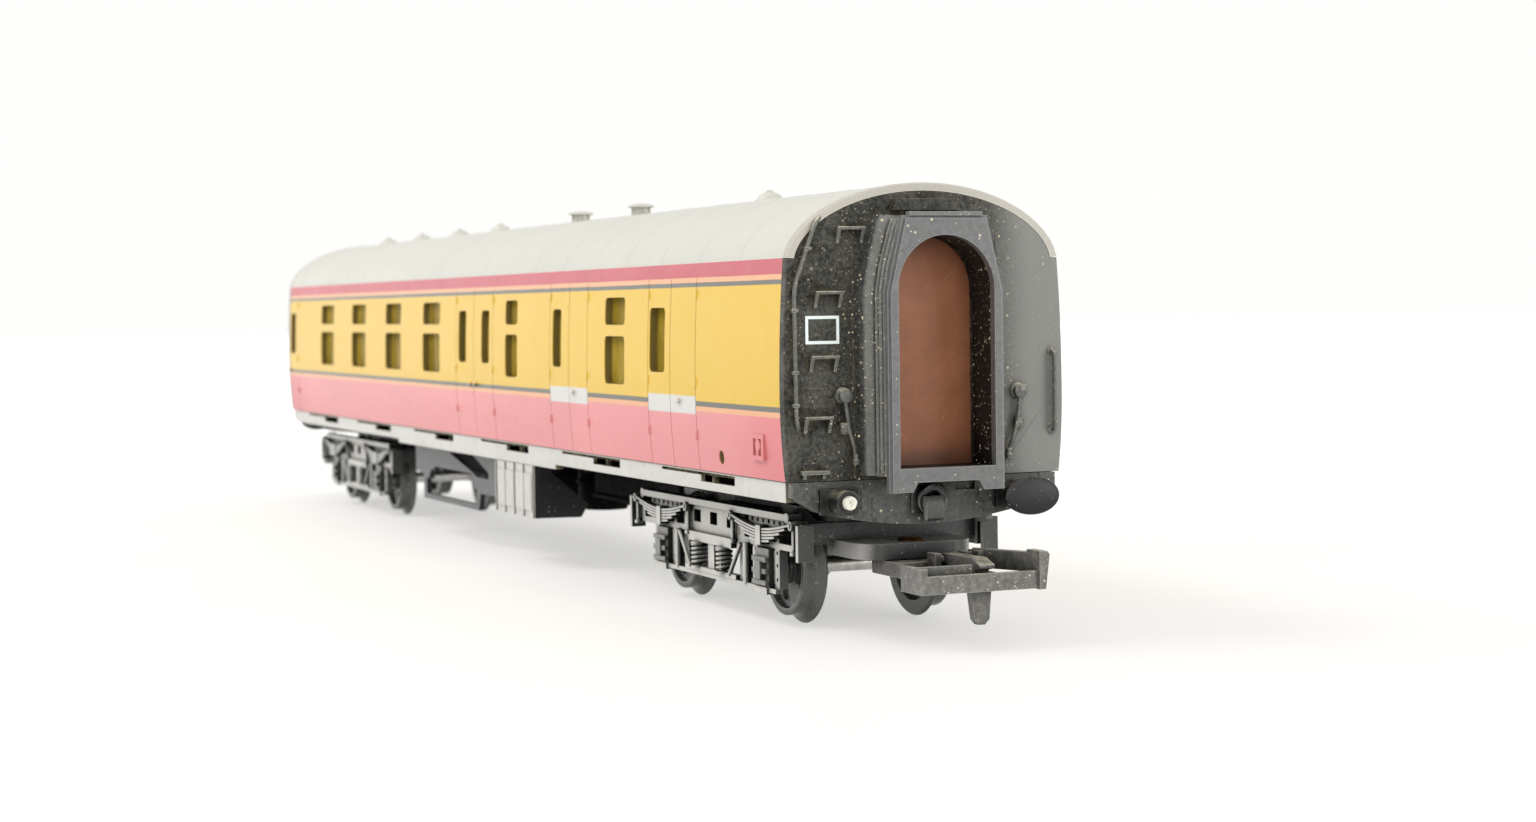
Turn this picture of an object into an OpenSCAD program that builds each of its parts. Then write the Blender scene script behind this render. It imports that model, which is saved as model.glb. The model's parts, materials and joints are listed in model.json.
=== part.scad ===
// Model passenger coach, 4 mm to the foot: a brake corridor coach on two four-wheel bogies.
// X runs along the coach (the van end is +X), Y across it, Z up from the bottom of the wheel flanges.

/* [Body] */
// Length of the body over its end walls
body_len = 258; // [252:1:264]
// Half width at the widest line of the sides
waist_half = 18; // [17.7:0.1:18.2]
// Height of the widest line of the sides
waist_z = 28.2; // [27:0.2:29.4]
// Radius of the inward curve of the sides below the widest line
lower_side_r = 81; // [70:1:120]
// Radius of the inward curve of the sides above the widest line
upper_side_r = 208; // [190:1:260]
// Height of the lower edge of the sides
sole_z = 18.6; // [18.5:0.1:18.8]
// Height of the joint between the sides and the roof
eaves_z = 44; // [43.8:0.1:44.2]
// Thickness of the side walls
wall_t = 1; // [0.9:0.05:1.1]
// Thickness of the end walls
end_t = 1.2; // [1:0.1:1.4]

/* [Roof] */
// Half width of the roof curve where it meets its base line
roof_half = 17.5; // [17.4:0.05:17.6]
// Height of the base line of the roof curve
roof_base_z = 43.5; // [43.4:0.05:43.6]
// Rise of the roof above its base line
roof_rise = 9.1; // [8.8:0.1:9.4]
// Exponent that sharpens the shoulders of the roof curve
roof_power = 1.12; // [1:0.02:1.2]
// Thickness of the roof moulding
roof_t = 0.95; // [0.8:0.05:1.1]

/* [Windows and doors] */
// Centre of the compartment window nearest the compartment end
first_window_x = -94; // [-95:0.5:-93]
// Distance between compartment windows
window_pitch = 25.05; // [24.5:0.05:25.5]
// Width of a compartment window
window_w = 10.6; // [10:0.1:11]
// Corner radius of the windows
window_r = 0.7; // [0.4:0.1:1]

/* [Gangway] */
// Half width of the gangway faceplate
face_half = 7.35; // [7.2:0.05:7.5]
// Height of the top of the faceplate
face_top_z = 48.6; // [48.2:0.1:48.9]
// Half width of the walkway opening
walkway_half = 6.1; // [5.9:0.05:6.2]
// How far the faceplate stands in front of the end wall
gangway_reach = 5.5; // [5:0.1:6]

/* [Running gear] */
// Distance between the bogie pivots
bogie_centres = 186; // [184:1:188]
// Distance between the axles of a bogie
wheelbase = 34; // [33:0.5:35]
// Radius of the wheel tread
tread_r = 6; // [5.8:0.1:6]
// Radius of the wheel flange
flange_r = 7; // [6.8:0.1:7]
// Distance between the backs of the two wheels of a pair
back_to_back = 14.4; // [14.2:0.1:14.6]
// Running clearance of a shaft in its bore, on the radius
clearance = 0.06; // [0.03:0.01:0.08]

/* [Hidden] */
$fn = 32;

// Body
half_len = body_len / 2;
wall_end_x = half_len - end_t;
side_steps = 14;
roof_steps = 28;
eaves_angle = acos(pow((eaves_z - roof_base_z) / roof_rise, 1 / roof_power));
groove_w = 0.2;
groove_depth = 0.15;

// Window and door places along the side, all measured from the middle of the coach
lower_pane_z = [28.5, 34.9];
upper_pane_z = [36.4, 40.05];
door_pane_z = [30.4, 38.6];
compartments = [for (i = [0:3]) first_window_x + i * window_pitch];
van_windows = [[26, 6.1], [72.3, 7.9]];
door_windows = [[-124.6, 4.4], [-0.2, 4.3], [12.5, 4.3], [47.9, 3.9], [88.45, 5.5]];
door_lines = [-120.4, -3.8, 6.1, 16.5, 44.7, 53.2, 61.1, 85.1, 93.1, 101.8];
hinge_lines = [-120.4, -3.8, 16.5, 44.7, 61.1, 85.1, 101.8];
hinge_heights = [22.9, 29.4, 40.2];
handle_places = [4.9, 7.4, 55.2, 96.2, -127];
handle_z = 27;

// Gangway
arch_z = 40.3;
walkway_z = 20;
face_shoulder_z = 40;
face_x = half_len + gangway_reach;
face_t = 1.1;
bellows_folds = 4;

// Underframe
floor_z = [16.4, 18.45];
headstock_x = [half_len - 1.8, half_len - 0.2];
buffer_y = 11.3;
buffer_z = 16.2;
shank_r = 0.85;
buffer_head = [7.1, 4.4];
pivot_r = 2;
boss_z = 14;

// Bogie, measured from its pivot
bogie_x = bogie_centres / 2;
axle_x = wheelbase / 2;
axle_z = flange_r;
axle_r = 1;
journal_r = 0.6;
wheel_w = 2.8;
flange_w = 0.8;
frame_y = [11.2, 12.2];
rivet_x = 31.5;
rivet_r = 1;
hook_pivot = [38.5, 9.1];
hook_pin_r = 0.6;

// ---- Shared shapes ----

module block(x, y, z) {
    translate([x[0], y[0], z[0]]) cube([x[1] - x[0], y[1] - y[0], z[1] - z[0]]);
}

// A flat outline drawn in (y, z), made solid from x[0] to x[1]
module along_x(x) {
    translate([x[0], 0, 0]) rotate([90, 0, 90]) linear_extrude(x[1] - x[0]) children();
}

// A flat outline drawn in (x, z), made solid from y[0] to y[1]
module along_y(y) {
    translate([0, y[1], 0]) rotate([90, 0, 0]) linear_extrude(y[1] - y[0]) children();
}

module rod(p, q, r) {
    d = q - p;
    translate(p) rotate([0, acos(d[2] / norm(d)), atan2(d[1], d[0])]) cylinder(h = norm(d), r = r);
}

// A pipe through a list of points, with round elbows
module pipe(points, r) {
    for (i = [1:len(points) - 1]) rod(points[i - 1], points[i], r);
    for (i = [1:len(points) - 2]) translate(points[i]) sphere(r = r * 1.1);
}

module both_sides() {
    children();
    mirror([0, 1, 0]) children();
}

module both_ends() {
    children();
    mirror([1, 0, 0]) children();
}

// The same piece at the van end and, turned half round, at the compartment end
module both_ways() {
    children();
    rotate([0, 0, 180]) children();
}

module rounded_window(x, z, w, r = window_r) {
    h = z[1] - z[0];
    translate([x - w / 2 + r, z[0]]) square([w - 2 * r, h]);
    translate([x - w / 2, z[0] + r]) square([w, h - 2 * r]);
    for (sx = [-1, 1], zc = [z[0] + r, z[1] - r]) translate([x + sx * (w / 2 - r), zc]) circle(r = r);
}

function side_y(z) = waist_half - pow(z - waist_z, 2) / (2 * (z < waist_z ? lower_side_r : upper_side_r));
function side_points(inset, z) = [
    for (i = [0:side_steps]) let (h = z[0] + (z[1] - z[0]) * i / side_steps) [side_y(h) - inset, h]
];
function roof_points(inset) = [
    for (i = [0:roof_steps]) let (a = eaves_angle * (1 - 2 * i / roof_steps))
        [(roof_half - inset) * sin(a), roof_base_z + (roof_rise - inset) * pow(cos(a), roof_power)]
];
function reversed(points) = [for (i = [len(points) - 1:-1:0]) points[i]];
function flipped(points) = [for (p = reversed(points)) [-p[0], p[1]]];

// One side wall seen from the end, from inset[0] to inset[1] inside the outer surface
module side_strip(inset, z) {
    polygon(concat(side_points(inset[0], z), reversed(side_points(inset[1], z))));
}

module body_outline(z_low, roof_inset) {
    side = side_points(0, [z_low, eaves_z - 0.1]);
    polygon(concat(side, roof_points(roof_inset), flipped(side)));
}

// ---- Body ----

module side_openings() {
    along_y([-waist_half - 1, -waist_half + 3]) {
        for (x = compartments, z = [lower_pane_z, upper_pane_z]) rounded_window(x, z, window_w);
        for (v = van_windows, z = [lower_pane_z, upper_pane_z]) rounded_window(v[0], z, v[1]);
        for (d = door_windows) rounded_window(d[0], door_pane_z, d[1]);
    }
}

module door_grooves() {
    intersection() {
        for (x = door_lines) {
            block([x - groove_w / 2, x + groove_w / 2], [-waist_half - 1, 0], [sole_z - 1, eaves_z - 1.8]);
        }
        mirror([0, 1, 0]) along_x([-half_len, half_len]) {
            side_strip([-0.5, groove_depth], [sole_z - 1, eaves_z]);
        }
    }
}

module body_shell() color("firebrick") {
    wall = [-wall_end_x, wall_end_x];
    bulkhead = [wall_end_x - 1.6, wall_end_x - 0.6];
    difference() {
        union() {
            both_sides() along_x(wall) side_strip([0, wall_t], [sole_z, eaves_z]);
            both_ends() block(bulkhead, [-waist_half + 1.2, waist_half - 1.2], [sole_z, eaves_z - 0.2]);
            for (x = [-106.5, -31.4, 36, 80]) {
                block([x, x + 2], [-waist_half + 1.2, waist_half - 1.2], [42, eaves_z - 0.2]);
            }
        }
        both_sides() side_openings();
        both_sides() door_grooves();
        translate([109.2, -side_y(20.5) + 0.5, 20.5]) rotate([90, 0, 0]) cylinder(h = 2, r = 0.85);
    }
}

module roof_panel() color("lightgray") {
    along_x([-half_len, half_len]) difference() {
        polygon(roof_points(0));
        polygon(roof_points(roof_t));
    }
}

function roof_top_z(y) = roof_base_z + roof_rise * pow(1 - pow(y / roof_half, 2), roof_power / 2);

module roof_shell_vents() color("gainsboro") {
    difference() {
        for (x = [-114.3, -88.5, -62.2, -36.3, 84]) translate([x, 0, roof_top_z(1.9) - 0.05]) {
            cylinder(h = 0.75, r1 = 1.9, r2 = 1.45);
            translate([0, 0, 0.75]) cylinder(h = 0.35, r1 = 1.45, r2 = 0.9);
            translate([0, 0, 1.1]) cylinder(h = 0.35, r = 0.45);
        }
        along_x([-half_len, half_len]) polygon(roof_points(0));
    }
}

module roof_fan_vents() color("gainsboro") {
    for (x = [7.2, 35]) {
        translate([x, 0, roof_top_z(0)]) {
            cylinder(h = 1.1, r = 1.35);
            translate([0, 0, 1.1]) cylinder(h = 0.35, r1 = 2, r2 = 1.9);
            translate([0, 0, 1.45]) cylinder(h = 0.25, r1 = 1.9, r2 = 1.2);
        }
    }
}

module glazing(side) color("lightcyan", 0.4) {
    mirror([0, side < 0 ? 1 : 0, 0]) {
        along_x([-wall_end_x + 1.9, 95]) side_strip([wall_t + 0.02, wall_t + 0.5], [27.2, 41.4]);
    }
}

// One compartment: two facing benches with backs and the wall behind each
module compartment(x) {
    both_seats = [0, 1];
    for (m = both_seats) translate([x, 0, 0]) mirror([m, 0, 0]) {
        block([window_pitch / 2 - 0.45, window_pitch / 2], [-7.2, 15], [21, 41]);
        block([6.9, window_pitch / 2 - 0.4], [-7.2, 15], [21, 24.6]);
        block([9.9, window_pitch / 2 - 0.4], [-7.2, 15], [24, 33.5]);
    }
}

module interior_moulding() color("peru") {
    block([-wall_end_x + 2, wall_end_x - 2], [-15.4, 15.4], [20, 21]);
    for (x = compartments) compartment(x);
    block([17.6, 18.4], [-15, 15], [21, 41]);
    block([62.6, 63.4], [-15, 15], [21, 41]);
    block([64, 69], [8, 15], [21, 27]);
}

module corridor_partition() color("sienna") {
    difference() {
        block([first_window_x - 25, -6], [-8.1, -7.3], [21.02, 41]);
        along_y([-9, -7]) for (x = compartments) {
            rounded_window(x + 2.2, [28.6, 40], 5);
            rounded_window(x - 3.4, [30, 40], 2.6);
        }
    }
}

module ballast_weight() color("silver") {
    block([-75, 75], [-11, 11], [18.5, 19.98]);
}

// ---- Ends ----

module walkway_outline(half_w, z_low) {
    translate([-half_w, z_low]) square([2 * half_w, arch_z - z_low]);
    translate([0, arch_z]) circle(r = half_w, $fn = 64);
}

module gangway_outline(inset, z_low) {
    w = face_half - inset;
    top = face_top_z - inset;
    right = [[w, z_low], [w, face_shoulder_z], [w - 2, top]];
    polygon(concat(right, flipped(right)));
}

module end_wall() color("dimgray") {
    along_x([wall_end_x, half_len]) difference() {
        body_outline(sole_z, roof_t + 0.03);
        walkway_outline(walkway_half + 0.15, walkway_z - 0.2);
    }
    // Hood over the gangway and the two raised panels beside it
    along_x([half_len, half_len + 0.75]) polygon([[-4.4, 49.4], [4.4, 49.4], [3.8, 50.7], [-3.8, 50.7]]);
    panel = [half_len, half_len + 0.12];
    along_x(panel) difference() {
        translate([-15.8, 26.9]) square([3.2, 2.3]);
        translate([-15.5, 27.2]) square([2.6, 1.7]);
    }
    for (y = [-9.3, 9.1]) block(panel, [y, y + 0.2], [sole_z + 0.4, 46.5]);
}

module gangway_bellows() color("black") {
    step = (gangway_reach - face_t) / (2 * bellows_folds);
    for (i = [0:2 * bellows_folds - 1]) {
        x = half_len + i * step;
        along_x([x, x + step]) difference() {
            gangway_outline(i % 2 == 0 ? 0.75 : 0.2, walkway_z - 1);
            walkway_outline(walkway_half, walkway_z);
        }
    }
}

module gangway_faceplate() color("dimgray") {
    difference() {
        union() {
            along_x([face_x - face_t, face_x - 0.35]) gangway_outline(0, 17.3);
            along_x([face_x - 0.35, face_x]) gangway_outline(0.3, 17.3);
        }
        along_x([face_x - face_t - 1, face_x + 1]) {
            walkway_outline(walkway_half, walkway_z);
            polygon([[-4.6, 17.2], [4.6, 17.2], [3.9, 18.4], [-3.9, 18.4]]);
        }
    }
    along_x([face_x - face_t, face_x]) translate([-4.6, face_top_z - 0.02]) square([9.2, 0.45]);
}

module gangway_door() color("saddlebrown") {
    along_x([wall_end_x - 0.58, wall_end_x]) {
        translate([-walkway_half - 0.9, walkway_z - 0.8]) square([2 * walkway_half + 1.8, 27.6]);
    }
    along_x([wall_end_x - 0.1, wall_end_x + 0.5]) walkway_outline(walkway_half + 0.1, walkway_z - 0.15);
}

module step_iron(y, z) {
    block([half_len, half_len + 1.1], [y, y + 3.45], [z - 0.25, z + 0.2]);
    for (leg = [y, y + 3]) block([half_len, half_len + 0.55], [leg, leg + 0.45], [z - 1.7, z - 0.2]);
}

module end_steps() color("dimgray") both_ways() {
    step_iron(-11.4, 47.3);
    step_iron(-14.25, 40);
    step_iron(-14.9, 32.7);
    step_iron(-15.7, 25.8);
    block([half_len, half_len + 1.1], [-16.2, -12.8], [19.4, 19.9]);
}

module jumper(y, lean) {
    x = half_len + 0.75;
    rod([half_len, y, 28.3], [half_len + 1.1, y, 28.3], 0.8);
    pipe([[x, y, 28.3], [x, y + lean * 0.35, 24.6], [x, y + lean * 1.4, 20.9]], 0.25);
    block([half_len, half_len + 0.7], [y - 0.6, y + 0.6], [24, 25.2]);
}

module end_pipework() color("dimgray") both_ways() {
    x = half_len + 0.3;
    pipe([[x, -14.05, 47.6], [x, -16.75, 40.5], [x, -16.5, 25.3]], 0.3);
    jumper(-10.7, 1);
    jumper(11.9, -1);
}

module end_handrails() color("dimgray") both_ways() {
    x = half_len + 0.9;
    y = waist_half - 1.5;
    pipe([[half_len, y, 23.4], [x, y, 23.4], [x, y, 33], [half_len, y, 33]], 0.28);
}

// Door hinges and handles, and the framed lamp bracket near the van end, all standing on the side walls
module side_fittings() color("goldenrod") difference() {
    union() {
        both_sides() {
            for (x = hinge_lines, z = hinge_heights) {
                translate([x, -side_y(z) - 0.05, z - 0.55]) cylinder(h = 1.1, r = 0.22);
            }
            for (x = handle_places) translate([x, -side_y(handle_z), handle_z]) {
                rotate([90, 0, 0]) cylinder(h = 0.35, r = 0.3);
                block([-0.7, 0.7], [-0.5, -0.3], [-0.13, 0.13]);
            }
        }
        along_y([-waist_half - 0.1, -waist_half + 0.8]) {
            difference() {
                translate([119.5, 20.8]) square([3.5, 3]);
                translate([120.05, 21.3]) square([2.4, 2]);
            }
            translate([121, 20.9]) square([0.5, 2.8]);
            translate([121.4, 22.5]) circle(r = 0.65);
        }
    }
    both_sides() along_x([-wall_end_x, wall_end_x]) side_strip([0, 3], [sole_z, eaves_z]);
}

// ---- Underframe ----

module underframe_floor() color("black") {
    difference() {
        union() {
            block([-headstock_x[0], headstock_x[0]], [-15.3, 15.3], floor_z);
            both_ends() translate([bogie_x, 0, boss_z]) cylinder(h = 3, r = 4.4);
        }
        both_ends() translate([bogie_x, 0, boss_z - 1]) cylinder(h = 6, r = pivot_r + 0.01);
    }
    for (x = [-52, -26, 26, 52]) block([x - 0.5, x + 0.5], [-15.3, 15.3], [15.4, floor_z[0] + 0.1]);
    for (y = [-4.6, 3.6]) block([-60, 60], [y, y + 1], [14.8, floor_z[0] + 0.1]);
}

// Channel section of a solebar with its lower flange at the given height
module solebar_strip(x, low) {
    y = side_y(sole_z) - 0.25;
    lip = [[y, low], [y - 1.3, low], [y - 1.3, low + 0.5], [y - 0.6, low + 0.5], [y - 0.6, 17.9]];
    along_x(x) polygon(concat([[y, sole_z - 0.1]], lip, [[15.32, 17.9], [15.32, sole_z - 0.1]]));
}

// Each solebar is deeper between the bogies than over them
module solebars() color("lightgray") both_sides() {
    y = side_y(sole_z) - 0.25;
    difference() {
        union() {
            solebar_strip([-headstock_x[0], headstock_x[0]], 16.15);
            solebar_strip([-44, 44], 15.5);
        }
        // A long slot and the opening at its end, for each door step
        for (i = [-3:2]) {
            slot = 6.7 + i * 40.4;
            block([slot, slot + 24.6], [y - 0.4, y + 1], [17.95, 18.3]);
            block([slot + 13.6, slot + 24.6], [y - 0.7, y + 1], [17.15, 18.3]);
        }
    }
    for (x = [-117:13:117]) block([x - 0.3, x + 0.3], [y - 1.2, y - 0.5], [16.5, 18]);
}

// Bellied plate with rows of rivets, [distance from the middle, lowest rivet] for each row
module headstock() color("black") {
    belly = [for (i = [-12:12]) [i * 1.15, 13.2 + pow(i * 1.15, 2) / 105]];
    corners = [[17, 16.8], [17, sole_z - 0.1], [-17, sole_z - 0.1], [-17, 16.8]];
    x = headstock_x[1];
    difference() {
        along_x(headstock_x) polygon(concat(belly, corners));
        block([x - 0.5, x + 1], [3.7, 6.3], [16.9, 18]);
    }
    for (side = [-1, 1], row = [[6.9, 14.4], [8.3, 15.3], [15, 16.5]], i = [0:2]) {
        translate([x, side * row[0], row[1] + i * 0.9]) rotate([0, 90, 0]) cylinder(h = 0.15, r = 0.18);
    }
}

module buffer_housing() {
    x = headstock_x[1];
    translate([x, 0, 0]) rotate([0, 90, 0]) difference() {
        union() {
            translate([-1.45, -2.4, 0]) cube([2.9, 4.8, 0.4]);
            cylinder(h = 2.5, r1 = 1.6, r2 = 1.3);
            translate([0, 0, 2.5]) cylinder(h = 0.4, r = 1.4);
        }
        translate([0, 0, 0.6]) cylinder(h = 3, r = shank_r + 0.02);
    }
}

// Every buffer place, the near one on the walked side first
module at_buffers(places) {
    for (p = places) rotate([0, 0, p[0]]) translate([0, p[1] * buffer_y, buffer_z]) children();
}

module buffer_housings() color("black") at_buffers([[0, -1], [0, 1], [180, -1], [180, 1]]) buffer_housing();

module buffer_rams() color("black") at_buffers([[0, 1], [180, -1], [180, 1]]) {
    x = headstock_x[1];
    rod([x + 0.62, 0, 0], [x + 4.6, 0, 0], shank_r);
    r = buffer_head[1] / 2;
    flat = buffer_head[0] / 2 - r;
    along_x([x + 4.5, x + 5.2]) {
        translate([-flat, -r]) square([2 * flat, 2 * r]);
        for (side = [-1, 1]) translate([side * flat, 0]) circle(r = r);
    }
}

module broken_buffer_shank() color("gainsboro") at_buffers([[0, -1]]) {
    x = headstock_x[1];
    rod([x + 0.62, 0, 0], [x + 3.7, 0, 0], shank_r);
}

module draw_hooks() color("black") both_ways() {
    x = headstock_x[1];
    block([x, x + 0.4], [-2.1, 2.1], [14.4, 17.5]);
    // Ring round the shank of the hook
    along_x([x + 0.4, x + 1.3]) translate([0.3, 16]) difference() {
        circle(r = 1.75);
        circle(r = 1.2);
    }
    block([x, x + 2.3], [-0.9, 0.9], [15.3, 16.6]);
    block([x + 1.4, x + 2.3], [-1.25, 1.25], [13.9, 15.8]);
    block([x + 1.1, x + 2.3], [-1.25, 1.25], [13.6, 14.3]);
}

// One truss seen from the side: a wide arch between two legs, and a sloping strut over the dark gap
module truss_outline() {
    difference() {
        polygon([[-43, 16.38], [-43, 10.8], [-38, 10.1], [-38, 6], [-4.4, 6], [-3.4, 8.8], [13.5, 9],
            [13.5, 16.38]]);
        translate([-26.6, 15.35]) square([1.2, 2]);
        translate([-36, 6.9]) square([30.5, 2.6]);
        translate([-31, 9.4]) square([23, 2.4]);
        for (x = [-32.2, -8.9]) translate([x, 9.2]) circle(r = 2.1);
        polygon([[-21.6, 14.7], [-8, 15], [1.2, 12.4], [1.2, 11.4], [-5.4, 11.4], [-9.6, 12.4]]);
    }
}

module truss_frames() color("black") both_ways() {
    along_y([-14.4, -13.5]) truss_outline();
}

module battery_boxes() color("gray") both_ways() {
    x = [14.2, 33.8];
    along_x(x) polygon([[-17.1, 15.45], [-17.1, 7.6], [-9.8, 7.5], [-8.7, 9.4], [-15.9, 15.45]]);
    for (i = [0:4]) {
        rib = x[0] + 0.3 + i * (x[1] - x[0] - 1) / 4;
        block([rib, rib + 0.4], [-17.3, -17], [7.6, 15.4]);
    }
    for (i = [0:1]) {
        door = x[0] + 1.3 + i * 9;
        block([door, door + 8], [-17.22, -17], [8.6, 14.2]);
    }
}

module vacuum_cylinders() color("black") for (x = [2, 17]) {
    translate([x, 0, 7.2]) {
        cylinder(h = 0.6, r = 3.4);
        translate([0, 0, 0.6]) cylinder(h = 6.7, r = 4.3);
        translate([0, 0, 4.2]) cylinder(h = 0.5, r = 4.6);
        translate([0, 0, 7.3]) cylinder(h = 1.9, r = 3);
    }
}

// Channel under the webs of the floor, each way from the cylinders, with a lip along its foot
module centre_sills() color("black") both_ways() {
    x = [24, 60];
    difference() {
        union() {
            block(x, [-4.2, 4.2], [9.7, 14.8]);
            block(x, [-4.6, 4.6], [9.7, 10.3]);
        }
        block([x[0] - 1, x[1] + 1], [-3.1, 3.1], [10.8, 17]);
    }
}

module bogie_pivot_pins() color("silver") both_ends() translate([bogie_x, 0, 0]) {
    translate([0, 0, 11.6]) cylinder(h = 0.8, r = 3.1);
    translate([0, 0, 12.3]) cylinder(h = 6, r = pivot_r);
}

// ---- Bogies ----

module bogie_place(front) {
    rotate([0, 0, front ? 0 : 180]) translate([bogie_x, 0, 0]) children();
}

// The stretcher: a spine between the wheels, three cross members and the coupling tongue
module bogie_frame(front) color("black") bogie_place(front) {
    spine_z = [12.45, 13.9];
    tongue = [24.3, 34.5];
    tongue_r = 3.5;
    difference() {
        union() {
            block([-26, 26], [-6.2, 6.2], spine_z);
            translate([0, 0, spine_z[0]]) cylinder(h = 1.45, r = 5.2);
            block([-8, 8], [-frame_y[0], frame_y[0]], [11, 13.3]);
            both_ends() block([24.7, 26.4], [-frame_y[0], frame_y[0]], [10.4, 12.9]);
            block([22, 24.5], [-6.2, 6.2], [9, 12.6]);
            block([tongue[0], tongue[1] - tongue_r], [-7.5, 7.5], [9, 10.9]);
            block([tongue[1] - tongue_r, tongue[1]], [tongue_r - 7.5, 7.5 - tongue_r], [9, 10.9]);
            both_sides() translate([tongue[1] - tongue_r, 7.5 - tongue_r, 9]) cylinder(h = 1.9, r = tongue_r);
        }
        translate([0, 0, 12.5]) cylinder(h = 3, r = pivot_r + clearance);
        translate([0, 0, 10]) cylinder(h = 2.5, r = 3.4);
        translate([rivet_x, 0, 8]) cylinder(h = 4, r = rivet_r + 0.01);
        for (x = [-18, 14]) block([x - 2, x + 6], [-3, 3], [12, 14.5]);
    }
}

module coupling_rivet(front) color("goldenrod") bogie_place(front) translate([rivet_x, 0, 0]) {
    translate([0, 0, 6.6]) cylinder(h = 0.55, r = 1.7);
    translate([0, 0, 7.1]) cylinder(h = 3.8, r = rivet_r);
    translate([0, 0, 10.9]) cylinder(h = 0.4, r1 = 1.7, r2 = 1.1);
}

module side_frame() {
    horn = 3.3;
    // Top bar with rounded noses, and the perforated girders under it
    along_y([-12.9, -frame_y[0]]) {
        translate([-24.5, 13.15]) square([49, 0.8]);
        for (x = [-24.5, 24.5]) translate([x, 13.5]) circle(r = 0.65);
    }
    along_y([-frame_y[1] - 0.1, -frame_y[0]]) difference() {
        union() {
            for (x = [-axle_x, axle_x]) translate([x - 5.4, 11.9]) square([10.8, 1.4]);
            translate([-8.4, 9.6]) square([16.8, 3.7]);
            for (x = [-axle_x, axle_x], s = [-1, 1]) {
                translate([x + s * horn - 0.65, 4.7]) square([1.3, 7.4]);
            }
            for (s = [-1, 1]) translate([s * 9.4 - 0.8, 4.6]) square([1.6, 8.7]);
            translate([-axle_x - 8, 9.5]) square([wheelbase + 16, 0.75]);
            for (s = [-1, 1]) translate([s * 26 - 1, 9.5]) square([2, 3.8]);
        }
        for (x = [-axle_x, axle_x], i = [-2.5:1:2.5]) translate([x + i * 1.7, 12.65]) circle(r = 0.3);
        for (x = [-axle_x, axle_x], s = [-1, 1], z = [5.8, 7.5, 9]) {
            translate([x + s * horn, z]) circle(r = 0.25);
        }
        for (x = [-5.6, 0, 5.6]) translate([x - 1.2, 10.9]) square([2.4, 1.6]);
    }
    // Bearing block behind each axlebox
    for (x = [-axle_x, axle_x]) difference() {
        block([x - horn + 0.2, x + horn - 0.2], [-frame_y[1], -frame_y[0]], [5.2, 9.2]);
        bore_r = journal_r + clearance;
        translate([x, -frame_y[0] + 1, axle_z]) rotate([90, 0, 0]) cylinder(h = 1.9, r = bore_r);
    }
    // Tie bar along the bottom, with a foot under each axlebox
    block([-axle_x - horn - 0.6, axle_x + horn + 0.6], [-12.8, -12.1], [4.15, 4.7]);
    for (x = [-axle_x, axle_x]) block([x - 1.8, x + 1.8], [-13.1, -12.05], [3.9, 4.75]);
    // Damper struts and scroll irons
    for (s = [-1, 1]) {
        rod([s * 11.6, -12.6, 4.6], [s * 11.6, -12.6, 9.6], 0.5);
        rod([s * 6.6, -12.9, 5.2], [s * 10.4, -12.9, 9.4], 0.28);
        block([s * 28.2 - 0.35, s * 28.2 + 0.35], [-13.2, -frame_y[0]], [8.6, 12.9]);
        block([s * 27.2 - 1.4, s * 27.2 + 1.4], [-12.25, -frame_y[0]], [12.3, 12.95]);
    }
    block([-7.2, 7.2], [-12.9, -12.1], [8.5, 9.7]);
    block([-8.6, 8.6], [-12.9, -12.1], [4.7, 5.3]);
    block([-1, 1], [-12.7, -12.1], [5.2, 9]);
}

module side_frames(front) color("darkgray") bogie_place(front) both_sides() side_frame();

// One half of a leaf spring: thick at the buckle, stepped down leaf by leaf to the hanger
function spring_points(span, low, rise, leaves) = concat(
    [[0, low + 1.7], [span, low + rise + 0.6], [span, low + rise]],
    [for (i = [leaves - 1:-1:0], e = [1, 0]) let (t = (i + e) / leaves)
        [span * t * 0.97, low + rise * pow(t, 1.4) * (i / leaves) - (1 - i / leaves) * 0.02]]
);

module leaf_spring() {
    for (m = [0, 1]) mirror([m, 0, 0]) {
        along_y([-13.3, -12.3]) polygon(spring_points(9.3, 10.3, 1.9, 5));
        block([9, 9.8], [-13.2, -12.3], [9.2, 13.1]);
        rod([9.4, -13.5, 12.4], [9.4, -12.3, 12.4], 0.45);
    }
    block([-0.8, 0.8], [-13.5, -12.3], [9.9, 12.2]);
}

module leaf_springs(front) color("dimgray") bogie_place(front) both_sides() {
    for (x = [-axle_x, axle_x]) translate([x, 0, 0]) leaf_spring();
}

module axlebox() {
    block([-2, 2], [-12.9, -12.2], [4.75, 9.4]);
    for (z = [5.3, 6.7, 8.1]) block([-2.1, 2.1], [-13.4, -12.8], [z - 0.3, z + 0.3]);
    block([-0.9, 0.9], [-13.6, -12.8], [5.7, 7.9]);
}

module axleboxes(front) color("gray") bogie_place(front) both_sides() {
    for (x = [-axle_x, axle_x]) translate([x, 0, 0]) axlebox();
}

// Two pairs of coil springs between the spring plank and the bolster
module bolster_springs(front) color("dimgray") bogie_place(front) both_sides() {
    for (x = [-4.2, 4.2]) translate([x, -12.6, 5.35]) {
        cylinder(h = 3.1, r = 0.7);
        for (i = [0:4]) translate([0, 0, 0.2 + i * 0.62]) cylinder(h = 0.3, r = 1.15);
    }
}

module brake_shoe() {
    gap = 0.4;
    along_y([-9.9, -8.2]) intersection() {
        difference() {
            circle(r = flange_r + gap + 1, $fn = 64);
            circle(r = flange_r + gap, $fn = 64);
        }
        translate([0, -2.6]) square([12, 5.2]);
    }
}

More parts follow.
